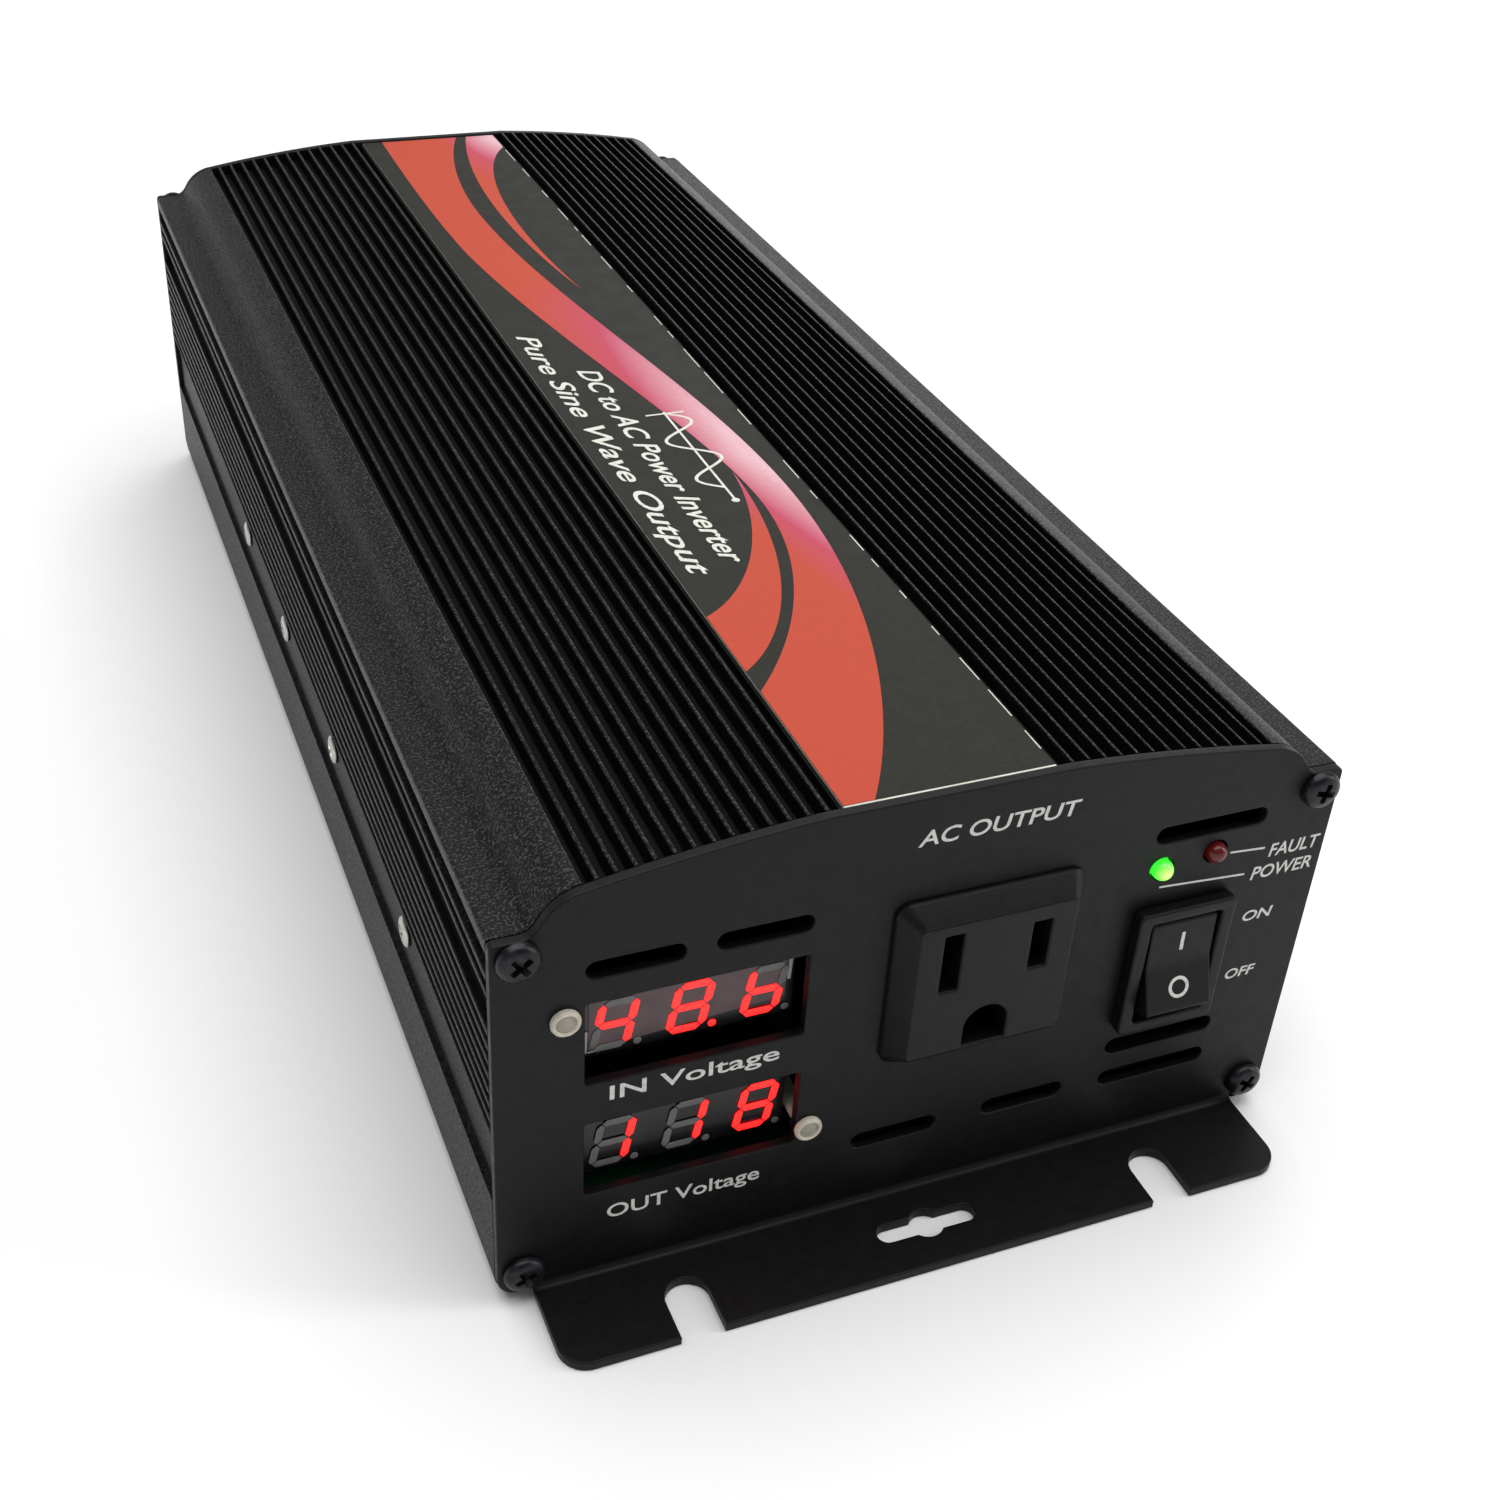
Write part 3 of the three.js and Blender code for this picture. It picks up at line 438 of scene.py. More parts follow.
# ---- Materials ----

def feed(socket, value):
    """Gives a node's socket a constant, or another node's output."""
    if isinstance(value, bpy.types.NodeSocket):
        socket.id_data.links.new(value, socket)
    else:
        socket.default_value = value


def add_node(tree, kind, **inputs):
    node = tree.nodes.new(kind)
    for key, value in inputs.items():
        feed(node.inputs[key.replace("_", " ")], value)
    return node


class Surface:
    """A procedural material. Patterns lie in the object's own space, and their sizes are in millimetres."""

    def __init__(self, name, color, roughness):
        self.material = bpy.data.materials.new(name)
        self.material.use_nodes = True
        self.tree = self.material.node_tree
        self.shader = self.tree.nodes["Principled BSDF"]
        self.color = color
        self.set("Base Color", (*color, 1)).set("Roughness", roughness)
        self.place = self.tree.nodes.new("ShaderNodeTexCoord").outputs["Object"]

    def set(self, socket, value):
        feed(self.shader.inputs[socket], value)
        return self

    def node(self, kind, **inputs):
        return add_node(self.tree, kind, **inputs)

    def stretched(self, stretch):
        return self.node("ShaderNodeMapping", Vector=self.place, Scale=stretch).outputs["Vector"]

    def noise(self, size, detail=3.0, stretch=(1, 1, 1)):
        """Noise with patches of about the given size."""
        node = self.node("ShaderNodeTexNoise", Vector=self.stretched(stretch), Scale=1 / (size * MM),
                         Detail=detail)
        return node.outputs["Fac"]

    def ranged(self, value, low, high, start=0.3, end=0.7):
        node = self.node("ShaderNodeMapRange", Value=value, From_Min=start, From_Max=end,
                         To_Min=low, To_Max=high)
        return node.outputs["Result"]

    def math(self, operation, *values):
        node = self.tree.nodes.new("ShaderNodeMath")
        node.operation = operation
        for socket, value in zip(node.inputs, values):
            feed(socket, value)
        return node.outputs[0]

    def mixed(self, factor, first, second):
        """A colour that goes from first to second as the factor goes from 0 to 1."""
        node = self.tree.nodes.new("ShaderNodeMix")
        node.data_type = "RGBA"
        feed(node.inputs[0], factor)
        for index, color in ((6, first), (7, second)):
            feed(node.inputs[index], (*color, 1) if isinstance(color, (tuple, list)) else color)
        return node.outputs[2]

    def mottled(self, size, amount, stretch=(1, 1, 1)):
        """Colour that varies a little, lighter and darker."""
        dark = [c * (1 - amount) for c in self.color]
        light = [min(1, c * (1 + amount)) for c in self.color]
        factor = self.ranged(self.noise(size, 4.0, stretch), 0, 1)
        return self.set("Base Color", self.mixed(factor, dark, light))

    def rough(self, size, low, high, stretch=(1, 1, 1)):
        return self.set("Roughness", self.ranged(self.noise(size, 3.0, stretch), low, high))

    def bumpy(self, *layers):
        """Bump from layers of (size, depth) or (size, depth, stretch)."""
        normal = None
        for size, depth, *stretch in layers:
            inputs = {"Height": self.noise(size, 2.0, *stretch), "Distance": depth * MM, "Strength": 1.0}
            if normal:
                inputs["Normal"] = normal
            normal = self.node("ShaderNodeBump", **inputs).outputs["Normal"]
        return self.set("Normal", normal)


ALONG_Y = (1, 0.03, 1)


def surface(name, color, roughness, mottle, *bumps, rough=None, **sockets):
    """A plain material. mottle is (size, amount), bumps are layers for bumpy(), rough is (size, low, high),
    and any other keyword is a socket of the shader."""
    look = Surface(name, color, roughness)
    for socket, value in sockets.items():
        look.set(socket.replace("_", " "), value)
    look.mottled(*mottle)
    if rough:
        look.rough(*rough)
    return look.bumpy(*bumps).material


def anodised_black(name, shine, sparkle):
    """Blasted and anodised aluminium: a fine sparkle over faint extrusion lines. The sparkle is painted
    glints: pale flecks of the given sparkle colour mixed into the base colour.
    """
    look = Surface(name, (0.003, 0.003, 0.0032), 0.42).set("Specular IOR Level", shine)
    # Painted glints: the blasted grain's sparkle, drawn as pale flecks in the base colour.
    grit_glints = look.ranged(look.noise(0.36, 1.0), 0, 1, 0.5, 0.7)
    look.set("Base Color", look.mixed(grit_glints, look.color, (sparkle,) * 3)).rough(0.4, 0.3, 0.56)
    return look.bumpy((0.32, 0.09), (0.9, 0.03, ALONG_Y)).material


def ribbon_ink():
    """Red-orange ink that fades to pink and then white in two places: along the right-hand edge in the
    front half of the label, and at the label's rear end."""
    red, pink, white, fleck = (0.5, 0.072, 0.04), (0.5, 0.07, 0.13), (0.72, 0.45, 0.5), (0.25, 0.03, 0.02)
    look = Surface("ribbon_ink", red, 0.5).set("Specular IOR Level", 0.08)
    glow = None
    for y, reach, edge, slope in ((FRONT + 92, 85, 7.5, 0.13), (REAR - 4, 30, 11, -0.05)):
        middle = look.node("ShaderNodeMapping", Vector=look.place, Location=(0, -y * MM, 0))
        split = look.node("ShaderNodeSeparateXYZ", Vector=middle.outputs["Vector"])
        nearness = look.ranged(look.math("ABSOLUTE", split.outputs["Y"]), 1, 0, 0, reach * MM)
        tilt = look.math("MULTIPLY_ADD", split.outputs["Y"], slope, split.outputs["X"])
        side = look.ranged(tilt, 0, 1, (edge - 9) * MM, (edge + 3) * MM)
        patch = look.math("MULTIPLY", nearness, side)
        glow = look.math("MAXIMUM", glow, patch) if glow else patch
    faded = look.mixed(look.ranged(glow, 0, 1, 0.05, 0.4), red, pink)
    lit = look.mixed(look.ranged(glow, 0, 1, 0.35, 0.9), faded, white)
    look.set("Base Color", look.mixed(look.ranged(look.noise(1), 0, 0.1), lit, fleck))
    return look.bumpy((0.8, 0.006)).material


def lens_green():
    """A lit lens: yellow-green in the middle, where the chip is, and green towards its rim."""
    look = Surface("lens_green", (0.05, 0.6, 0.04), 0.12)
    spot = look.node("ShaderNodeTexGradient", Vector=look.stretched((560, 560, 0)))
    spot.gradient_type = "SPHERICAL"
    share = look.ranged(spot.outputs["Fac"], 0, 1, 0.15, 0.75)
    look.set("Emission Color", look.mixed(share, (0.012, 0.62, 0.02), (0.5, 1.0, 0.14)))
    look.set("Emission Strength", 1.5).set("Coat Weight", 0.5)
    return look.bumpy((0.6, 0.004)).material


def solder_mask(name, base, trace, stretch):
    """A circuit board with copper showing through the mask as small cells."""
    look = Surface(name, base, 0.35)
    cells = look.node("ShaderNodeTexVoronoi", Vector=look.stretched(stretch), Scale=220)
    cells.distance = "MANHATTAN"
    traces = look.ranged(cells.outputs["Distance"], 0, 1, 0.18, 0.22)
    look.set("Base Color", look.mixed(traces, trace, base))
    return look.rough(4, 0.3, 0.42).bumpy((0.6, 0.01)).material


def nylon(name, color):
    return surface(name, color, 0.45, (1, 0.12), (0.4, 0.01), Subsurface_Weight=0.15,
                   Subsurface_Radius=(0.001, 0.001, 0.0008))


def moulded_gloss(name, color):
    return surface(name, color, 0.22, (3, 0.1), (2, 0.01), rough=(3, 0.18, 0.28))


ANODISED = anodised_black("anodised_black", 0.16, 0.055)
# Painted shade: a darker, less shiny copy of the same anodised finish, for the tray's side walls.
ANODISED_SIDE_SHADE = anodised_black("anodised_black_side_shade", 0.1, 0.025)
# Painted shade: the darkest copy of the finish, for the faces down in the grooves.
ANODISED_GROOVE_SHADE = anodised_black("anodised_black_groove_shade", 0.06, 0.006)
POWDER = surface("powder_black", (0.0048, 0.0049, 0.0058), 0.45, (0.7, 0.2), (0.5, 0.02), (4, 0.02),
                 rough=(2, 0.4, 0.5), Specular_IOR_Level=0.18)
FILM = surface("film_charcoal", (0.028, 0.028, 0.0245), 0.5, (0.8, 0.1), (0.6, 0.008),
               rough=(4, 0.46, 0.56), Specular_IOR_Level=0.05)
FILM_EDGE = surface("film_edge", (0.62, 0.6, 0.52), 0.5, (3, 0.15), (0.5, 0.01))
RIBBON = ribbon_ink()
INK = surface("pale_ink", (0.58, 0.58, 0.55), 0.5, (0.6, 0.15), (0.3, 0.008))
LABEL_INK = surface("label_ink", (0.66, 0.66, 0.6), 0.5, (0.6, 0.15), (0.3, 0.008))
MOULDED = surface("moulded_black", (0.0042, 0.0042, 0.0046), 0.4, (1.2, 0.2), (0.3, 0.02),
                  rough=(2, 0.36, 0.47), Specular_IOR_Level=0.19)
ZINC_BLACK = surface("black_zinc", (0.02, 0.02, 0.024), 0.32, (1, 0.4), (0.4, 0.015),
                     rough=(1, 0.26, 0.42), Metallic=0.7)
ZINC = surface("bright_zinc", (0.5, 0.49, 0.46), 0.3, (1, 0.15), (0.4, 0.012), rough=(0.8, 0.22, 0.38),
               Metallic=1.0)
BRASS = surface("brass", (0.72, 0.5, 0.22), 0.28, (1.5, 0.15), (0.5, 0.01), rough=(1, 0.22, 0.36),
                Metallic=1.0)
MILL = surface("mill_aluminium", (0.62, 0.63, 0.64), 0.36, (2, 0.1, ALONG_Y), (0.5, 0.01, ALONG_Y),
               rough=(1, 0.3, 0.45, ALONG_Y), Metallic=1.0)
NYLON = nylon("nylon", (0.54, 0.5, 0.41))
NYLON_PIN = nylon("nylon_pin", (0.3, 0.28, 0.23))
MODULE_FACE = surface("module_face", (0.085, 0.05, 0.055), 0.4, (3, 0.2), (0.3, 0.006))
# Pale grey for the painted glints along the input meter's film.
GLINT_PALE = surface("painted_glint_pale", (0.36, 0.34, 0.33), 0.4, (2, 0.12), (0.3, 0.006))
DISPLAY_BLACK = surface("display_black", (0.006, 0.006, 0.007), 0.25, (2, 0.25), (0.4, 0.006))
LIT = surface("lit_segment", (0.5, 0.01, 0.01), 0.4, (1, 0.1), (0.3, 0.005),
              Emission_Color=(1.0, 0.012, 0.01, 1), Emission_Strength=2.2)
UNLIT = surface("dark_segment", (0.13, 0.13, 0.125), 0.4, (1, 0.12), (0.3, 0.005))
GREEN_LENS = lens_green()
RED_LENS = surface("lens_red", (0.16, 0.008, 0.01), 0.2, (1, 0.2), (0.6, 0.004), Transmission_Weight=0.3,
                   Specular_IOR_Level=0.4)
RED_PLASTIC = moulded_gloss("moulded_red", (0.42, 0.012, 0.012))
BLACK_PLASTIC = moulded_gloss("moulded_gloss_black", (0.012, 0.012, 0.012))
BOARD_GREEN = solder_mask("board_green", (0.01, 0.075, 0.03), (0.02, 0.16, 0.06), (1, 1, 0))
BOARD_BLACK = solder_mask("board_black", (0.004, 0.004, 0.005), (0.008, 0.008, 0.009), (1, 0, 1))
FERRITE = surface("sintered_ferrite", (0.035, 0.035, 0.04), 0.65, (1.2, 0.3), (0.4, 0.04),
                  rough=(2, 0.58, 0.75))
TAPE = surface("winding_tape", (0.55, 0.36, 0.03), 0.25, (4, 0.15, (1, 1, 4)), (3, 0.15, (0.2, 0.2, 3)))
SLEEVE = surface("shrink_sleeve", (0.012, 0.02, 0.05), 0.25, (5, 0.2), (4, 0.05), rough=(4, 0.2, 0.32))
COPPER = surface("enamelled_copper", (0.5, 0.19, 0.07), 0.25, (1.5, 0.15), (0.5, 0.01),
                 rough=(1, 0.2, 0.32), Metallic=0.9)


# ---- Housing ----

def arch_z(x):
    return ARCH_APEX_Z - ARCH_RADIUS + math.sqrt(ARCH_RADIUS ** 2 - x ** 2)


def riser():
    """From the end of the flat shoulder up to the arch: hollow at its foot, round at its head."""
    middle = (SHOULDER_END - 2.3, SHOULDER_Z + 1.7)
    foot = bezier((SHOULDER_END, SHOULDER_Z), (SHOULDER_END - 0.9, SHOULDER_Z),
                  (SHOULDER_END - 1.7, SHOULDER_Z + 0.6), middle, 6)
    top = (ARCH_HALF, arch_z(ARCH_HALF))
    head = bezier(middle, (SHOULDER_END - 3.2, SHOULDER_Z + 3.3),
                  (ARCH_HALF + 2.3, top[1] - 0.7), top, 8)
    return foot + head[1:]


def bottom_corner(bottom):
    return arc(HALF_WIDTH - CORNER_RADIUS, bottom + CORNER_RADIUS, CORNER_RADIUS, -90, 0, 10)


def top_ribs():
    points = []
    for i in reversed(range(TOP_RIBS)):
        inner = FIRST_RIB_X + i * RIB_PITCH
        outer = inner + RIB_WIDTH
        points += [
            (outer, arch_z(outer) - GROOVE_DEPTH), (outer - RIB_TAPER, arch_z(outer)),
            (inner + RIB_TAPER, arch_z(inner)), (inner, arch_z(inner) - GROOVE_DEPTH),
        ]
    return points


def cover_outline():
    last = FIRST_RIB_X + (TOP_RIBS - 1) * RIB_PITCH + RIB_WIDTH + 1.2
    hook = [(54.2, 52), (55.3, 52), (55.3, 55.6), (57.4, 55.6), (57.4, 58.2), (HALF_WIDTH, 58.2)]
    edges = hook + [(HALF_WIDTH, SHOULDER_Z), (SHOULDER_END, SHOULDER_Z)]
    outer = filleted(edges, 0.6, closed=False)[:-1] + riser()[:-1]
    crown = [(ARCH_HALF, arch_z(ARCH_HALF)), (last, arch_z(last)),
             (last - 0.15, arch_z(last) - GROOVE_DEPTH)]
    crown += top_ribs() + [(SEAT_HALF, SEAT_Z - 1.4), (SEAT_HALF, SEAT_Z)]
    outer += filleted(crown, 0.28, closed=False)
    inner = [(54.2, 55), (52.2, 55), (52.2, 58.6), (50.8, 58.6), (49.6, 60.2)]
    inner += [(x, arch_z(x) - WALL) for x in range(45, 0, -5)]
    return outer + mirrored(outer) + (inner + mirrored(inner))[::-1]


def tray_outline():
    groove = HALF_WIDTH - SIDE_GROOVE_DEPTH
    band = HALF_WIDTH - 0.9
    wall = [(HALF_WIDTH, BAND_LOW), (band, BAND_LOW), (band, BAND_HIGH), (HALF_WIDTH, BAND_HIGH)]
    wall += [(HALF_WIDTH, SIDE_RIB_LOW), (groove, SIDE_RIB_LOW)]
    for i in reversed(range(SIDE_RIBS - 1)):
        top = SIDE_RIB_TOP - i * RIB_PITCH
        low = top - RIB_WIDTH
        wall += [(groove, low), (HALF_WIDTH, low), (HALF_WIDTH, top), (groove, top)]
    wall += [(groove, 51.7), (HALF_WIDTH, 51.7), (HALF_WIDTH, 52.7), (groove, 52.7)]
    wall += [(groove, 54.2), (HALF_WIDTH, 54.2), (HALF_WIDTH, TRAY_TOP), (55.7, TRAY_TOP)]
    right = bottom_corner(BODY_BOTTOM) + filleted(wall, 0.22, closed=False)
    right += [(55.7, 12.2), (52.8, 12.2), (52.8, 11.0), (55, 11.0), (55, 8.7), (52.2, 8.7), (52.2, 2.5)]
    return right + mirrored(right)


def in_cover_groove(face):
    x, y, z = face.calc_center_median()
    return abs(x) < ARCH_HALF and 0.3 < arch_z(x) - z < GROOVE_DEPTH + 0.3


def in_tray_groove(face):
    x, y, z = face.calc_center_median()
    return SIDE_RIB_LOW < z < TRAY_TOP and 0.3 < HALF_WIDTH - abs(x) < SIDE_GROOVE_DEPTH + 0.2


def build_housing():
    # The tray gets the darker copy of the finish: painted shade on its side walls.
    shells = (("cover", cover_outline(), in_cover_groove, ANODISED, "upper_shell"),
              ("tray", tray_outline(), in_tray_groove, ANODISED_SIDE_SHADE, "lower_shell"))
    for name, outline, in_groove, look, node in shells:
        # The faces down in each shell's grooves get the darkest copy of the finish: painted shade in the
        # grooves.
        shell = two_tone(prism_y(outline, SHELL_FRONT, SHELL_REAR), in_groove)
        piece(name, shell, [look, ANODISED_GROOVE_SHADE], replaces=node, sharp=CREASE_SHEET)


# ---- Label ----

LABEL_HALF = SEAT_HALF - 0.45
LABEL_TOP = box_mm("top_label")[1].z
LABEL_LENGTH = SHELL_REAR - SHELL_FRONT
PRINT_EDGE = LABEL_HALF - 0.1  # how far the printing reaches sideways
PRINT_END = LABEL_LENGTH - 0.4  # and to the rear
INK_LIFT = 0.03
TEXT_LIFT = 0.06


def on_label(outlines, lift=INK_LIFT):
    """Ink on the label; the outlines' y counts from the label's front edge."""
    return moved(ink(outlines), at(0, SHELL_FRONT, LABEL_TOP + lift))


def ribbon_outline():
    """A ribbon that winds down the label in one slow S."""
    right = bezier((-10.2, 0.5), (0, 16), (11.5, 45), (11.5, 80), 30)
    right += bezier((11.5, 80), (11.5, 118), (-1.5, 160), (-1.9, 205), 30)[1:]
    right += bezier((-1.9, 205), (-2, 222), (1, 240), (6.1, PRINT_END), 16)[1:]
    left = bezier((-10.3, PRINT_END), (-10.8, 230), (-11.2, 205), (-10, 185), 16)
    left += bezier((-10, 185), (-6.4, 142), (6, 102), (5.8, 76), 30)[1:]
    left += bezier((5.8, 76), (5.5, 56), (-4, 38), (-PRINT_EDGE, 26.5), 24)[1:]
    return right + left + [(-PRINT_EDGE, 0.5)]


def companion_outline():
    """A second, narrower ribbon that leaves the label's left edge beside the first."""
    outer = bezier((-PRINT_EDGE, 31.5), (-4, 39), (4.7, 60), (5.2, 86), 30)
    inner = bezier((5.2, 86), (3.6, 68), (-5, 51), (-PRINT_EDGE, 46), 30)[1:]
    return outer + inner


def rear_outline():
    """A crescent beside the first ribbon's rear end."""
    outer = bezier((8.3, PRINT_END), (1.5, 230), (0, 196), (5.6, 163), 24)
    inner = bezier((5.6, 163), (1.8, 196), (4.5, 232), (PRINT_EDGE, 245), 24)[1:]
    return outer + inner + [(PRINT_EDGE, PRINT_END)]


def stroke(points, width):
    """An outline around an open line of points."""
    left = []
    right = []
    for i, point in enumerate(points):
        before = Vector(points[max(i - 1, 0)])
        after = Vector(points[min(i + 1, len(points) - 1)])
        side = (after - before).normalized().orthogonal() * width / 2
        left.append(tuple(Vector(point) + side))
        right.append(tuple(Vector(point) - side))
    return left + right[::-1]


def wave_symbol():
    """Two periods of a sine wave on a pair of axes, drawn with its length along -y."""
    start, length = 108.8, 32
    middle, swing = 2.15, 3.3
    base = start - 0.6  # where the axes cross
    steps = 72
    wave = []
    for i in range(steps + 1):
        t = i / steps
        wave.append((middle + swing * math.sin(4 * math.pi * t), base - t * (length - 5)))
    lines = [
        stroke(wave, 0.55), stroke([(middle, start), (middle, start - length)], 0.4),
        stroke([(middle - swing, base), (middle + swing, base)], 0.45),
        circle(middle, start - length, 0.65, 16),
    ]
    # Each line lies a little over the one before, so that no two faces share a plane where they cross.
    return joined(*[on_label([line], TEXT_LIFT + i * 0.002) for i, line in enumerate(lines)])


def worn_edge():
    """The pale cut edge of the film: a line along its front end and dashes along its right side."""
    chance = random.Random(7)
    strips = [rectangle(-LABEL_HALF + 0.05, LABEL_HALF - 0.05, 0.02, 0.4, 0.1, 2)]
    y = 4
    while y < LABEL_LENGTH - 12:
        dash = chance.uniform(2, 9)
        strips.append(rectangle(LABEL_HALF - 0.22, LABEL_HALF - 0.04, y, y + dash, 0.08, 2))
        y += dash + chance.uniform(1.5, 14)
    return joined(*[on_label([strip]) for strip in strips])


def build_label():
    outline = rectangle(-LABEL_HALF, LABEL_HALF, 0, LABEL_LENGTH, 0.3, 3)
    film = moved(sheet([outline], 0.3, 0.05, 1), at(0, SHELL_FRONT, LABEL_TOP))
    film = two_tone(film, lambda face: abs(face.normal.z) <= 0.9)
    piece("label_film", film, [FILM, FILM_EDGE], replaces="top_label")
    ribbons = (("label_ribbon", ribbon_outline()), ("label_ribbon_companion", companion_outline()),
               ("label_ribbon_rear", rear_outline()))
    for name, outline in ribbons:
        piece(name, on_label([outline]), RIBBON)
    piece("label_worn_edge", worn_edge(), FILM_EDGE)
    piece("label_wave", wave_symbol(), LABEL_INK)
    lines = (("label_title", "DC to AC Power Inverter", -6.6, 3.7, 128, 59),
             ("label_subtitle", "Pure Sine Wave Output", -13.5, 4.7, 144.5, 57))
    for name, text, x, height, start, end in lines:
        words = letters(text, 0, start - end, 0, height, 0.3, 0.05)
        moved(words, spun(-90, "Z"), at(x, SHELL_FRONT + start, LABEL_TOP + TEXT_LIFT))
        piece(name, words, LABEL_INK)


# ---- End plates ----

BEND = 1.0  # inner radius of the bend
BEND_START = SHEET + BEND  # height at which the bend begins
BEND_ARC = BEND * math.pi / 2
FLANGE_EDGE = -BEND_ARC - (FLANGE_REACH - BEND)  # the flange's free edge in the flat blank
RELIEF = 0.5  # width of the notch between the flange and the plate's lower edge


def folded(v, w):
    """Where a point of the flat blank ends up: v is its height over the start of the bend, w its depth
    behind the outer face. Gives (y, z) with the outer face at y = 0 and the flange towards -y."""
    if v >= 0:
        return w, BEND_START + v
    if v > -BEND_ARC:
        angle = -v / BEND
        return -BEND + (BEND + w) * math.cos(angle), BEND_START - (BEND + w) * math.sin(angle)
    return -BEND + v + BEND_ARC, SHEET - w


def blank_outline():
    """The flat blank of an end plate: the housing's outline with the flange below it."""
    crown = [(x, arch_z(x)) for x in range(42, math.ceil(CREST_HALF), -3)]
    edge_line = [(HALF_WIDTH, 50), (HALF_WIDTH, SHOULDER_Z), (SHOULDER_END, SHOULDER_Z)]
    shoulder = filleted(edge_line, 0.8, closed=False)[1:-1]
    upper = bottom_corner(PLATE_BOTTOM) + shoulder + riser() + crown + [(CREST_HALF, arch_z(CREST_HALF))]
    low = PLATE_BOTTOM - BEND_START
    notch = 0.4
    corner = 4
    half = [(SLOT_X - SLOT_RADIUS, FLANGE_EDGE)]
    half += arc(SLOT_X, FLANGE_EDGE + SLOT_CENTRE, SLOT_RADIUS, 180, 0, 16)
    half.append((SLOT_X + SLOT_RADIUS, FLANGE_EDGE))
    half += arc(FLANGE_HALF - corner, FLANGE_EDGE + corner, corner, 270, 360, 12)
    half += [(FLANGE_HALF, notch), (FLANGE_HALF + RELIEF, notch), (FLANGE_HALF + RELIEF, low)]
    half += [(x, z - BEND_START) for x, z in upper]
    return half + mirrored(half)


def keyhole_outline():
    y = FLANGE_EDGE + KEYHOLE_FROM_EDGE
    half = 7.35
    radius = 1.5
    bulge = 2.4
    meet = math.degrees(math.asin(radius / bulge))
    return (
        arc(half - radius, y, radius, -90, 90, 10) + arc(0, y, bulge, meet, 180 - meet, 14)
        + arc(radius - half, y, radius, 90, 270, 10) + arc(0, y, bulge, 180 + meet, 360 - meet, 14)
    )


def end_plate(holes):
    """A bent end plate with its outer face at y = 0. The holes are drawn in (x, z)."""
    shifted = [[(x, z - BEND_START) for x, z in hole] for hole in holes]
    blank = sheet([blank_outline(), keyhole_outline()] + shifted, SHEET, 0.22, 3)
    cuts = 6
    for i in range(cuts + 1):
        bmesh.ops.bisect_plane(blank, geom=blank.verts[:] + blank.edges[:] + blank.faces[:],
                               plane_co=(0, -BEND_ARC * i / cuts, 0), plane_no=(0, 1, 0))
    for vert in blank.verts:
        x, v, depth = vert.co
        beside_flange = abs(x) > FLANGE_HALF + RELIEF - 0.2
        y, z = (-depth, BEND_START + v) if beside_flange else folded(v, -depth)
        vert.co = (x, y, z)
    return blank


def round_holes(centres, radius=SCREW_HOLE, steps=24):
    return [circle(x, z, radius, steps) for x, z in centres]


def build_front_plate():
    holes = round_holes(CORNER_SCREWS)
    holes += [stadium(x0, x1, z, VENT_RADIUS) for x0, x1, z in VENTS]
    holes += [rectangle(WINDOW_LEFT, WINDOW_RIGHT, z0, z1, 0.4, 3) for z0, z1 in WINDOWS]
    holes += round_holes(RIVETS) + round_holes(LEDS.values(), LED_HOLE)
    holes.append(centred(OUTLET_X, OUTLET_Z, *OUTLET_HOLE, 0.5, 3))
    holes.append(centred(SWITCH_X, SWITCH_Z, *SWITCH_HOLE, 0.4, 3))
    plate = moved(end_plate(holes), at(0, FRONT, 0))
    piece("front_panel", plate, POWDER, replaces="front_plate", sharp=CREASE_SHEET)


def grille_slot(radius, quarter):
    """One of the ring-shaped slots over the fan, a quarter turn long."""
    half = GRILLE_SLOT / 2
    web = math.degrees(2 / radius)  # half of a spoke, which is 4 wide
    start = 45 + quarter * 90 + web
    end = 135 + quarter * 90 - web
    outer = arc(FAN_X, FAN_Z, radius + half, start, end, 16)
    inner = arc(FAN_X, FAN_Z, radius - half, end, start, 16)
    return filleted(outer + inner, 1.0)


def build_rear_plate():
    holes = round_holes(CORNER_SCREWS)
    holes += [grille_slot(radius, quarter) for radius in GRILLE_RADII for quarter in range(4)]
    holes += round_holes(FAN_SCREWS) + round_holes(TERMINALS.values(), TERMINAL_HOLE, 32)
    holes += round_holes([EARTH_SCREW], EARTH_HOLE)
    flipped = [[(-x, z) for x, z in reversed(hole)] for hole in holes]
    plate = moved(end_plate(flipped), spun(180, "Z"), at(0, REAR, 0))
    piece("rear_panel", plate, POWDER, replaces="rear_plate", sharp=CREASE_SHEET)


# ---- Fasteners ----

def pan_screw(radius, height, shank, length):
    """A pan-head screw along Z with its seat at z = 0, its head up and a cross recess."""
    head = turned([
        (0, -length), (shank - 0.3, -length), (shank, -length + 0.4), (shank, 0), (radius - 0.15, 0),
        (radius, 0.12), (radius, height * 0.35), (radius * 0.93, height * 0.65),
        (radius * 0.75, height * 0.88), (radius * 0.45, height * 0.98), (0, height),
    ])
    arm = radius * 0.58
    half = radius * 0.15
    square = ((-1, -1), (1, -1), (1, 1), (-1, 1))
    wings = [loft([
        [(x * arm * 0.55, y * half * 0.6, height * 0.3) for x, y in square],
        [(x * arm * 1.1, y * half * 1.2, height + 0.3) for x, y in square],
    ]) for _ in range(2)]
    return carved(head, wings[0], moved(wings[1], spun(90, "Z")))


def seat(x, y, z, direction, turn=0):
    """Where a piece goes that is drawn along +Z, turned in place by some degrees."""
    return at(x * MM, y * MM, z * MM) @ facing(direction) @ spun(turn, "Z")


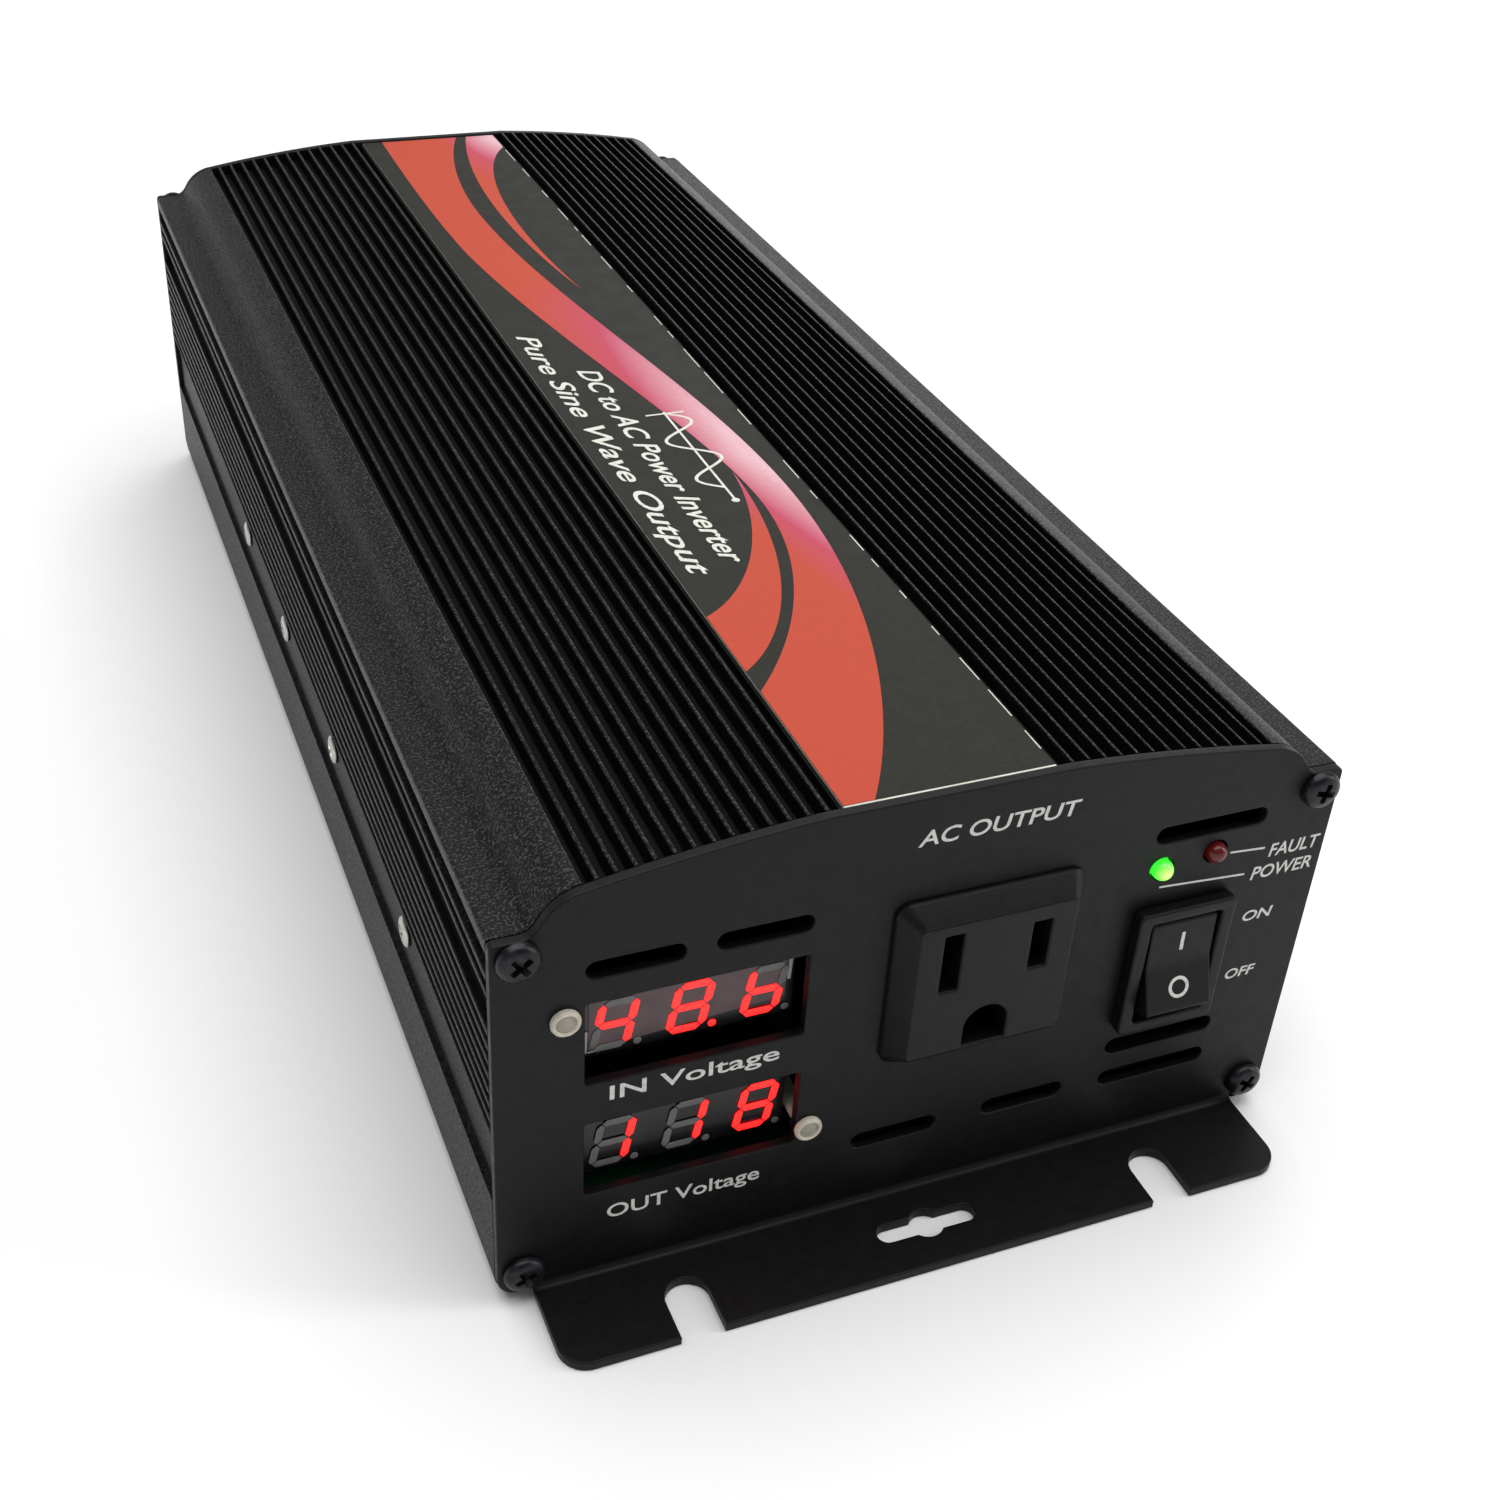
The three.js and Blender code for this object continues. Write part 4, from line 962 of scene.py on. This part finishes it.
def build_fasteners():
    corner = mesh_of(pan_screw(2.75, 1.6, 1.25, 10), "corner_screw")
    rear_seat = REAR + 0.1
    black = []  # (name, node, place); each screw has stopped at its own angle
    for i, (x, z) in enumerate(CORNER_SCREWS, 1):
        for end, y, direction in (("front", FRONT - 0.1, FORWARD), ("rear", rear_seat, BACKWARD)):
            place = seat(x, y, z, direction, 37 * i)
            black.append((f"{end}_corner_screw_{i}", f"{end}_screw_{i}", place))
    for i, (x, z) in enumerate(FAN_SCREWS, 1):
        black.append((f"fan_fixing_{i}", f"fan_screw_{i}", seat(x, rear_seat, z, BACKWARD, 53 * i)))
    for name, node, place in black:
        piece(name, corner, ZINC_BLACK, replaces=node, place=place)

    clamp = mesh_of(pan_screw(2.3, 0.75, 1.25, 9.5), "clamp_screw")
    for side, sign in (("left", -1), ("right", 1)):
        for i in range(1, 5):
            node = f"{side}_clamp_screw_{i}"
            low, high = box_mm(node)
            middle = (low + high) / 2
            place = seat(sign * (HALF_WIDTH - 0.8), middle.y, middle.z, (sign, 0, 0), 29 * i)
            piece(f"{side}_side_screw_{i}", clamp, ZINC, replaces=node, place=place)
    x, z = EARTH_SCREW
    piece("earth_bolt", mesh_of(pan_screw(4, 2.4, 1.9, 10), "earth_bolt"), ZINC,
          replaces="earth_screw", place=seat(x, rear_seat, z, BACKWARD))


# ---- Outlet ----

def outlet_front(half_x, half_z, face):
    """The outlet's face with its three openings; face is how far it stands out."""
    slots = [centred(x, BLADE_Z, 1.3, height / 2, 0.12, 2) for x, height in BLADE_SLOTS]
    ground = [(OUTLET_X - GROUND_RADIUS, GROUND_Z - 3), (OUTLET_X + GROUND_RADIUS, GROUND_Z - 3)]
    ground += arc(OUTLET_X, GROUND_Z, GROUND_RADIUS, 0, 180, 20)
    rim = centred(OUTLET_X, OUTLET_Z, half_x, half_z, 1.0, 5)
    return moved(sheet([rim] + slots + [ground], 7, 0.42, 2), FACE_FRONT, at(0, FRONT - face - 0.1, 0))


def outlet_collar(half_x, half_z, face):
    """The sloped frame round the face."""
    rings = []
    for grow, y in ((0.0, 0.4), (2.1, -0.1), (2.1, -0.55), (1.85, -0.85), (0.1, 0.2 - face),
                    (-0.3, 0.05 - face), (-0.3, 0.4)):
        outline = centred(OUTLET_X, OUTLET_Z, half_x + grow, half_z + grow, 1.0 + max(grow, 0) * 0.5, 5)
        rings.append([(x, FRONT + y, z) for x, z in outline])
    return merged(loft(rings + rings[:1], caps=False))


def outlet_back():
    """The hidden body with a pocket behind each opening."""
    half = 11.8
    body = block(OUTLET_X - half, OUTLET_X + half, FRONT + 3.2, FRONT + 22,
                 OUTLET_Z - half, OUTLET_Z + half, 0.4)
    pockets = [block(x - 2.6, x + 2.6, FRONT + 2, FRONT + 24, BLADE_Z - 5.2, BLADE_Z + 5.2, 0.1)
               for x, height in BLADE_SLOTS]
    pin = turned([(0, 0), (GROUND_RADIUS, 0), (GROUND_RADIUS, 24), (0, 24)], 24)
    return carved(body, *pockets, moved(pin, Z_TO_Y, at(OUTLET_X, FRONT + 2, GROUND_Z)))


def build_outlet():
    size = (11.4, 11.15, 3.4)  # half width, half height, and how far the face stands out
    outlet = joined(outlet_front(*size), outlet_collar(*size), outlet_back())
    piece("outlet", outlet, MOULDED, replaces="outlet_body", sharp=CREASE_SHEET)


# ---- Switch ----

ROCKER_RIM = (-6.2, 7.2)  # (y, z) from the pivot: the rocker's outer edge
ROCKER_HOLLOW = (-5.2, 0.8)  # and the start of its hollow middle
ROCKER_PLACE = at(SWITCH_X, PIVOT_Y, SWITCH_Z) @ Matrix.Rotation(REST_TILT, 4, "X")


def build_switch_frame():
    x, z = SWITCH_X, SWITCH_Z
    inner = centred(x, z, 5.5, 8.7, 0.5, 4)
    outer = centred(x, z, 7.55, 10.55, 0.9, 5)
    half_x, half_z = 6.4, 9.5
    well = centred(x, z, half_x, half_z, 0.4, 3)
    bezel = moved(sheet([outer, inner], 2, 0.4, 3), FACE_FRONT, at(0, FRONT - 2.1, 0))
    walls = moved(sheet([well, inner], 9.3, 0.1, 1), FACE_FRONT, at(0, FRONT - 0.3, 0))
    base = block(x - half_x, x + half_x, FRONT + 8.8, FRONT + 15, z - half_z, z + half_z, 0.3)
    tabs = [block(x - 2.4, x + 2.4, FRONT + 14.5, FRONT + 21, z + dz - 0.4, z + dz + 0.4, 0.1)
            for dz in (-5, 5)]
    piece("switch_frame", joined(bezel, walls, base, *tabs), MOULDED,
          replaces="switch_housing")


def build_rocker():
    (rim_y, rim_z), (hollow_y, hollow_z) = ROCKER_RIM, ROCKER_HOLLOW
    face = [(rim_y, rim_z), (hollow_y, hollow_z), (-5.12, 0), (hollow_y, -hollow_z), (rim_y, -rim_z)]
    back = [(-4.6, -7.6), (-2, -7.9), (1.5, -7.9), (4, -3), (4, 3), (1.5, 7.9), (-2, 7.9), (-4.6, 7.6)]
    profile = filleted(face + back, 0.8, 4)
    body = loft([[(x, y, z) for y, z in profile] for x in (-5.1, 5.1)])
    ends = [e for e in body.edges if abs(e.verts[0].co.x - e.verts[1].co.x) < 1e-6]
    rounded(body, ends, 0.3, 3)
    pin = moved(turned([(0, -6), (1.2, -6), (1.2, 6), (0, 6)], 24), spun(90, "Y"))
    piece("rocker", moved(joined(body, pin), ROCKER_PLACE), MOULDED, body="rocker",
          replaces="switch_rocker")


def build_rocker_marks():
    """The bar and the ring on the rocker's two slopes."""
    bar = sheet([centred(0, 0, 0.27, 1.5, 0.05, 2)], 0.05, 0.01, 1)
    ring = sheet([circle(0, 0, 1.6, 40), circle(0, 0, 1.1, 40)], 0.05, 0.01, 1)
    slope = (ROCKER_RIM[0] - ROCKER_HOLLOW[0]) / (ROCKER_RIM[1] - ROCKER_HOLLOW[1])
    marks = []
    for mark, height in ((bar, 3.6), (ring, -3.6)):
        depth = ROCKER_HOLLOW[0] + slope * (abs(height) - ROCKER_HOLLOW[1])
        lean = math.copysign(math.atan(-slope), height)
        marks.append(moved(mark, FACE_FRONT, Matrix.Rotation(lean, 4, "X"), at(0, depth - 0.04, height)))
    piece("rocker_marks", moved(joined(*marks), ROCKER_PLACE), INK, body="rocker")


# ---- Meters, rivets, LEDs, legends ----

# Which of the seven segments a digit lights: top, upper right, lower right, bottom, lower left, upper left,
# middle.
SEGMENTS = {"1": "bc", "4": "bcfg", "6": "cdefg", "8": "abcdefg"}
SEGMENT_ENDS = {
    "a": ((0, 2), (1, 2)), "b": ((1, 2), (1, 1)), "c": ((1, 1), (1, 0)), "d": ((1, 0), (0, 0)),
    "e": ((0, 0), (0, 1)), "f": ((0, 1), (0, 2)), "g": ((0, 1), (1, 1)),
}
DIGIT_WIDTH = 4.3  # between the middles of the upright segments
DIGIT_HALF = 3.45  # height of one upright segment
DIGIT_PITCH = 9.9
SLANT = math.tan(math.radians(11))


def segment(key):
    """One segment as a bar with pointed ends, in the digit's own frame."""
    half = 1.05 / 2  # of the bar's width
    gap = 0.12  # from a tip to the corner where two segments meet
    start, end = [Vector((x * DIGIT_WIDTH, z * DIGIT_HALF)) for x, z in SEGMENT_ENDS[key]]
    along = (end - start).normalized()
    across = Vector((-along.y, along.x)) * half
    tip = along * half
    start = start + along * gap
    end = end - along * gap
    points = [start, start + tip + across, end - tip + across, end, end - tip - across,
              start + tip - across]
    if across.cross(along) > 0:
        points.reverse()
    return [(p.x + (p.y - DIGIT_HALF) * SLANT, p.y) for p in points]


def lamp(outline, x, y, z):
    """A thin plate on a meter's face."""
    return moved(sheet([outline], 0.1, 0.02, 1), FACE_FRONT, at(x, y, z))


def digits(text, x, z, y):
    """Lit and unlit segments of a row of digits: two bmeshes. (x, z) is the first digit's lower left."""
    lit = []
    unlit = []
    for i, char in enumerate(text.replace(".", "")):
        left = x + i * DIGIT_PITCH
        for key in SEGMENT_ENDS:
            (lit if key in SEGMENTS[char] else unlit).append(lamp(segment(key), left, y, z))
        dot = lamp(circle(DIGIT_WIDTH + 0.85, -0.15, 0.55, 20), left, y, z)
        (lit if text.find(".") == i + 1 else unlit).append(dot)
    return joined(*lit), joined(*unlit)


def build_meters():
    low, high = box_mm("input_display")
    face = low.y
    names = (("input", "48.6", 36.7, 48.3, 38.0), ("output", "118", 16.4, 28.4, 17.75))
    for name, text, z0, z1, digit_z in names:
        module = block(-46.6, -18.1, face, high.y, z0, z1, 0.25)
        piece(f"{name}_module", module, DISPLAY_BLACK, replaces=f"{name}_display")
        lit, unlit = digits(text, -44.2, digit_z, face - 0.22)
        piece(f"{name}_digits", lit, LIT)
        piece(f"{name}_digits_unlit", unlit, UNLIT)
    film = [(-45.4, 37.8), (-19.4, 39.6), (-19.1, 48.1), (-45.4, 48.1)]
    # Pale strips along the film's right and left edges and its lower left edge: painted glints.
    glints = [[(-19.2, 42.3), (-18.7, 42.2), (-18.4, 48.1), (-18.9, 48.1)],
              [(-46.3, 37.2), (-45.6, 37.6), (-45.5, 41), (-46.1, 41)],
              [(-45.5, 37.4), (-40.6, 37.8), (-40.6, 38.05), (-45.5, 37.65)]]
    piece("input_film", lamp(film, 0, face - 0.11, 0), MODULE_FACE)
    strips = [lamp(glint, 0, face - 0.12, 0) for glint in glints]
    piece("input_film_glints", joined(*strips), GLINT_PALE)


def build_rivets():
    length = box_mm("display_rivet_1")[1].y - FRONT
    pin = 1.3  # radius of the pin in the head's middle
    profile = [
        (0, -length), (1.1, -length), (1.3, -length + 0.4), (1.3, 0), (1.9, 0), (1.95, 0.35), (1.85, 0.68),
        (1.65, 0.84), (1.45, 0.84), (pin, 0.6), (1.15, 0.66), (0.7, 0.76), (0, 0.8),
    ]

    def on_pin(face):
        x, y, z = face.calc_center_median()
        return z > 0 and math.hypot(x, y) < pin

    mesh = mesh_of(two_tone(turned(profile), on_pin), "push_rivet")
    for i, (x, z) in enumerate(RIVETS, 1):
        piece(f"push_rivet_{i}", mesh, [NYLON, NYLON_PIN], replaces=f"display_rivet_{i}",
              place=seat(x, FRONT - 0.1, z, FORWARD))


def build_leds():
    dome = arc(0, 0.1, 1.5, 0, 90, 10)[:-1]
    for name, lens, slot in (("power_led", GREEN_LENS, "green_led"), ("fault_led", RED_LENS, "red_led")):
        x, z = LEDS[name]
        body = turned([(0, -2.6), (1.95, -2.6), (1.95, -1.65), (1.5, -1.65)] + dome + [(0, 1.6)])
        piece(f"{name}_lens", body, lens, replaces=name, place=seat(x, FRONT, z, FORWARD))


def build_front_legends():
    place = at(0, FRONT - 0.03, 0)
    words = [
        ("AC OUTPUT", -4.7, 17.9, 62.1, 64.5, 0.15), ("IN Voltage", -43.7, -21.0, 31.4, 34.5, 0),
        ("OUT Voltage", -43.8, -22.5, 10.2, 13.3, 0), ("ON", 47.8, 52.6, 36.8, 38.6, 0.15),
        ("OFF", 47.3, 52.2, 26.4, 28.2, 0.15), ("FAULT", 49.5, 57.6, 47.7, 49.9, 0.15),
        ("POWER", 47.4, 57.2, 44.2, 46.4, 0.15),
    ]
    leaders = [[(43.0, 50.0), (48.6, 49.5)], [(32.6, 46.7), (46.2, 45.6)]]
    parts = [letters(*word, LEGEND_WEIGHT) for word in words]
    parts += [ink([stroke(line, 0.32)]) for line in leaders]
    piece("front_legends", moved(joined(*parts), FACE_FRONT, place), INK)


def build_rear_legends():
    rear = REAR + 0.03
    title = letters("DC INPUT", -7.5, 7.5, 0, 2.2, 0.15, LEGEND_WEIGHT)
    parts = [moved(title, FACE_REAR, at(EARTH_SCREW[0], rear, 34.9))]
    level = [stroke([(-1.8, 0), (1.8, 0)], 0.7)]
    upright = [stroke([(0, -1.8), (0, -0.36)], 0.7), stroke([(0, 0.36), (0, 1.8)], 0.7)]
    earth = [stroke([(-w, -h), (w, -h)], 0.4) for w, h in ((2.0, 0), (1.3, 0.9), (0.6, 1.8))]
    earth.append(stroke([(0, 2), (0, 0.21)], 0.4))
    marks = [(TERMINALS["positive"][0], 36, level + upright), (TERMINALS["negative"][0], 36, level),
             (EARTH_SCREW[0] + 8, EARTH_SCREW[1], earth)]
    for x, z, outlines in marks:
        parts += [moved(ink([outline]), FACE_REAR, at(x, rear, z)) for outline in outlines]
    piece("rear_legends", joined(*parts), INK)


# ---- Fan ----

def build_fan_frame():
    low, high = box_mm("fan_frame")
    place = at(FAN_X, low.y, FAN_Z)
    half = (high.x - low.x) / 2
    outlines = [centred(FAN_X, FAN_Z, half, half, 3, 8), circle(FAN_X, FAN_Z, 23.7, 72)]
    outlines += round_holes(FAN_SCREWS, SCREW_HOLE, 20)
    body = moved(sheet(outlines, high.y - low.y, 0.5, 3), FACE_FRONT, at(0, low.y, 0))
    motor = moved(turned([(1.5, 0), (9.6, 0), (10, 0.4), (10, 2), (1.5, 2)]), Z_TO_Y, place)
    struts = [moved(block(-1.5, 1.5, 0, 2, 9, 24.5), spun(turn, "Y"), place) for turn in (25, 145, 265)]
    piece("fan_housing", joined(body, motor, *struts), MOULDED, replaces="fan_frame")


def fan_blade():
    """A swept, twisted blade on a hub along Z."""
    inner, outer = 9.8, 22.4
    across = 8
    along = 10
    rings = []
    for i in range(across + 1):
        share = i / across
        radius = inner + (outer - inner) * share
        pitch = math.radians(50 - 18 * share)
        sweep = 0.25 * share
        ring = []
        for side in (1, -1):
            for j in range(along + 1):
                t = side * (j / along - 0.5)
                chord = t * 9.5
                camber = 0.9 * (1 - 4 * t * t)
                thick = 0.5 * math.sqrt(max(0.02, 1 - 4 * t * t))
                height = chord * math.sin(pitch) + camber + side * thick
                angle = chord * math.cos(pitch) / radius + sweep
                ring.append((radius * math.cos(angle), radius * math.sin(angle), height))
        rings.append(ring)
    return loft(rings)


def build_fan_rotor():
    middle = box_mm("fan_rotor")[1].y - 5.5
    hub = turned([(0, -7.2), (1, -7.2), (1, -4.9), (9.7, -4.9), (10.4, -4.2), (10.5, 4.4), (9.7, 5.2),
                  (8.6, 5.5), (0, 5.5)], 64)
    blades = 7
    parts = [hub] + [moved(fan_blade(), spun(360 * i / blades, "Z")) for i in range(blades)]
    whole = moved(joined(*parts), Z_TO_Y, at(FAN_X, middle, FAN_Z))
    piece("fan_wheel", whole, MOULDED, body="fan", replaces="fan_rotor")


# ---- DC terminals ----

def knob(length):
    """A fluted knob with a skirt and a domed end, along Z from its mouth at 0."""
    sides = 144
    flutes = 12
    flute_depth = 0.75
    # (radius, height, share of the flutes' depth)
    levels = [(3.3, length - 3, 0), (3.3, 0, 0), (7.8, 0, 0), (8.0, 0.15, 0), (8.0, 1.2, 0), (7.9, 1.5, 0),
              (7.5, 1.6, 1), (7.5, length - 2.0, 1), (7.35, length - 1.2, 1), (6.9, length - 0.5, 0.7),
              (6.2, length - 0.15, 0.3), (5.2, length, 0), (4.8, length - 0.1, 0), (4.4, length - 0.5, 0)]
    rings = [[(0, 0, length - 3)]]
    for radius, height, share in levels:
        ring = []
        for i in range(sides):
            angle = 2 * math.pi * i / sides
            reach = radius - share * flute_depth * max(0.0, math.cos(flutes * angle)) ** 2
            ring.append((reach * math.cos(angle), reach * math.sin(angle), height))
        rings.append(ring)
    return loft(rings + [[(0, 0, length - 0.7)]])


def insulator():
    """A flanged bush with an open bore, along Z."""
    bore = 3.2
    profile = [(bore, -6), (4.4, -6), (4.4, 0.1), (8, 0.1), (8, 2.2), (7.6, 2.75), (7.2, 3), (bore, 3),
               (bore, -6)]
    return merged(loft([[(x, y, z) for x, y in circle(0, 0, r, 64)] for r, z in profile], caps=False))


def threaded_stud(length):
    """A stud with ridges for its thread and a nut behind the plate, along Z."""
    first = 3.4
    thread = []
    for i in range(int(length - first)):
        z = first + i
        thread += [(2.55, z), (2.9, z + 0.35), (2.9, z + 0.5), (2.55, z + 0.85)]
    shank = [(0, -11), (2.6, -11), (2.9, -10.6), (2.9, 3.2)]
    stud = turned(shank + thread + [(2.5, length), (0, length)])
    nut = loft([[(*p, z) for p in circle(0, 0, 5.2, 6)] for z in (-12, -7)])
    return joined(stud, rounded(nut, nut.edges[:], 0.3, 2))


def build_terminals():
    outward = facing(BACKWARD)
    for name, plastic, slot in (("positive", RED_PLASTIC, "red_terminal"),
                                ("negative", BLACK_PLASTIC, "black_terminal")):
        x, z = TERMINALS[name]
        place = at(x, REAR, z)
        piece(f"{name}_insulator", moved(insulator(), outward, place), plastic,
              replaces=f"{name}_terminal_base")
        stud = threaded_stud(box_mm(f"{name}_terminal_stud")[1].y - REAR)
        piece(f"{name}_stud", moved(stud, outward, place), BRASS,
              replaces=f"{name}_terminal_stud")
        low, high = box_mm(f"{name}_terminal_washer")
        ring = sheet([circle(0, 0, 6.4, 64), circle(0, 0, 3.3, 48)], high.y - low.y, 0.15, 2)
        piece(f"{name}_washer", moved(ring, outward, at(x, high.y, z)), ZINC,
              body=f"{name}_washer", replaces=f"{name}_terminal_washer")
        low, high = box_mm(f"{name}_terminal_knob")
        grip = moved(knob(high.y - low.y), outward, at(x, low.y, z))
        piece(f"{name}_knob", grip, plastic, body=f"{name}_knob", replaces=f"{name}_terminal_knob")


# ---- Parts inside ----

def on_ring(radius, angle, across, up):
    """A point of a ring's section; across counts outwards from the middle of the section."""
    return (radius + across) * math.cos(angle), (radius + across) * math.sin(angle), up


def build_choke():
    """A ring core wound with wire."""
    low, high = box_mm("filter_choke")
    place = at(*(low + high) / 2)
    ring, core, wire = 12, 3.9, 0.75  # radii of the ring, its section and the wire
    sides = 48
    section = circle(0, 0, core, 24)
    rings = [[on_ring(ring, 2 * math.pi * i / sides, x, z) for x, z in section] for i in range(sides + 1)]
    body = merged(loft(rings, caps=False))
    turns = 34
    steps = turns * 16
    reach = core + wire * 0.9
    path = []
    for i in range(steps):
        t = i / steps
        around = 2 * math.pi * turns * t
        angle = math.radians(20 + 320 * t)
        path.append(on_ring(ring, angle, reach * math.cos(around), reach * math.sin(around)))
    curve = bpy.data.curves.new("winding", "CURVE")
    curve.dimensions = "3D"
    curve.bevel_depth = wire * 0.55
    curve.bevel_resolution = 2
    curve.use_fill_caps = True
    add_line(curve, path, False)
    coil = evaluated(added("winding", curve))
    piece("choke_core", moved(body, place), FERRITE)
    piece("choke_winding", moved(coil, place), COPPER, replaces="filter_choke")


def finish_inner_nodes():
    """The parts that stay hidden keep their CAD shape and get their materials."""
    looks = (
        (MILL, ("left_clamp_bar", "right_clamp_bar")),
        (BRASS, ("outlet_contact_line", "outlet_contact_neutral", "outlet_contact_ground")),
        (BOARD_BLACK, ("display_board",)), (BOARD_GREEN, ("main_board",)),
        (FERRITE, ("transformer_1_core", "transformer_2_core")),
        (TAPE, ("transformer_1_coil", "transformer_2_coil")),
        (SLEEVE, ("bus_capacitor", "input_capacitor_1", "input_capacitor_2")),
    )
    for material, nodes in looks:
        for node in nodes:
            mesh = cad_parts[node].data
            mesh.materials.clear()
            mesh.materials.append(material)


# ---- Stage ----

def add_light(name, size, energy, place, target):
    data = bpy.data.lights.new(name, "AREA")
    data.shape = "RECTANGLE"
    data.size, data.size_y = size
    data.energy = energy
    obj = added(name, data)
    obj.location = place
    obj.rotation_mode = "QUATERNION"
    obj.rotation_quaternion = (Vector(target) - Vector(place)).to_track_quat("-Z", "Y")


FLOOR_RADII = (400, 800, 1100)
CEILING_LIGHT = 0.21
WALL_LIGHT = 0.9
WALL_TOP = 0.12  # height of the walls' upper edge, as the Z of a direction
CEILING_EDGE = 0.23


def build_world():
    """A dim ceiling over pale walls."""
    world = bpy.data.worlds.new("studio")
    world.use_nodes = True
    tree = world.node_tree
    around = add_node(tree, "ShaderNodeTexCoord").outputs["Generated"]
    height = add_node(tree, "ShaderNodeSeparateXYZ", Vector=around).outputs["Z"]
    fade = add_node(tree, "ShaderNodeMapRange", Value=height, From_Min=WALL_TOP, From_Max=CEILING_EDGE,
                    To_Min=WALL_LIGHT, To_Max=CEILING_LIGHT)
    fade.interpolation_type = "SMOOTHSTEP"
    background = tree.nodes["Background"]
    feed(background.inputs["Color"], (1, 1, 1, 1))
    feed(background.inputs["Strength"], fade.outputs["Result"])
    bpy.context.scene.world = world


def build_stage():
    look = Surface("floor", (0.93, 0.93, 0.93), 0.7).set("Specular IOR Level", 0.1).mottled(400, 0.01)
    rings = [[(x, y, 0) for x, y in circle(0, 0, radius, 96)] for radius in FLOOR_RADII]
    mesh = mesh_of(loft([[(0, 0, 0)]] + rings, caps=False), "floor")
    mesh.materials.append(look.material)
    floor = added("floor", mesh)

    build_world()
    add_light("top_soft", (1.8, 1.8), 29, (0, 0.1, 1.5), (0, 0, 0))
    add_light("behind_right", (0.8, 0.5), 2.5, (0.75, 1.1, 0.42), (0, 0, 0.05))
    add_light("right", (0.3, 0.8), 4, (1.0, -0.5, 0.6), (0, 0, 0.05))
    bpy.context.scene.view_settings.view_transform = "Standard"


def build_camera():
    azimuth, elevation, roll = -24.09, 34.55, 3.74
    data = bpy.data.cameras.new("camera")
    data.lens = 46.96
    data.sensor_width = 36
    data.clip_start = 0.01
    data.clip_end = 20
    camera = added("camera", data)
    place = at(-101.41 * MM, (FRONT - 164.51) * MM, 205.48 * MM)
    camera.matrix_world = place @ spun(azimuth, "Z") @ spun(90 - elevation, "X") @ spun(roll, "Z")
    bpy.context.scene.camera = camera


build_camera()
build_stage()
build_housing()
build_label()
build_front_plate()
build_rear_plate()
build_fasteners()
build_outlet()
build_switch_frame()
build_rocker()
build_rocker_marks()
build_meters()
build_rivets()
build_leds()
build_front_legends()
build_rear_legends()
build_fan_frame()
build_fan_rotor()
build_terminals()
build_choke()
finish_inner_nodes()
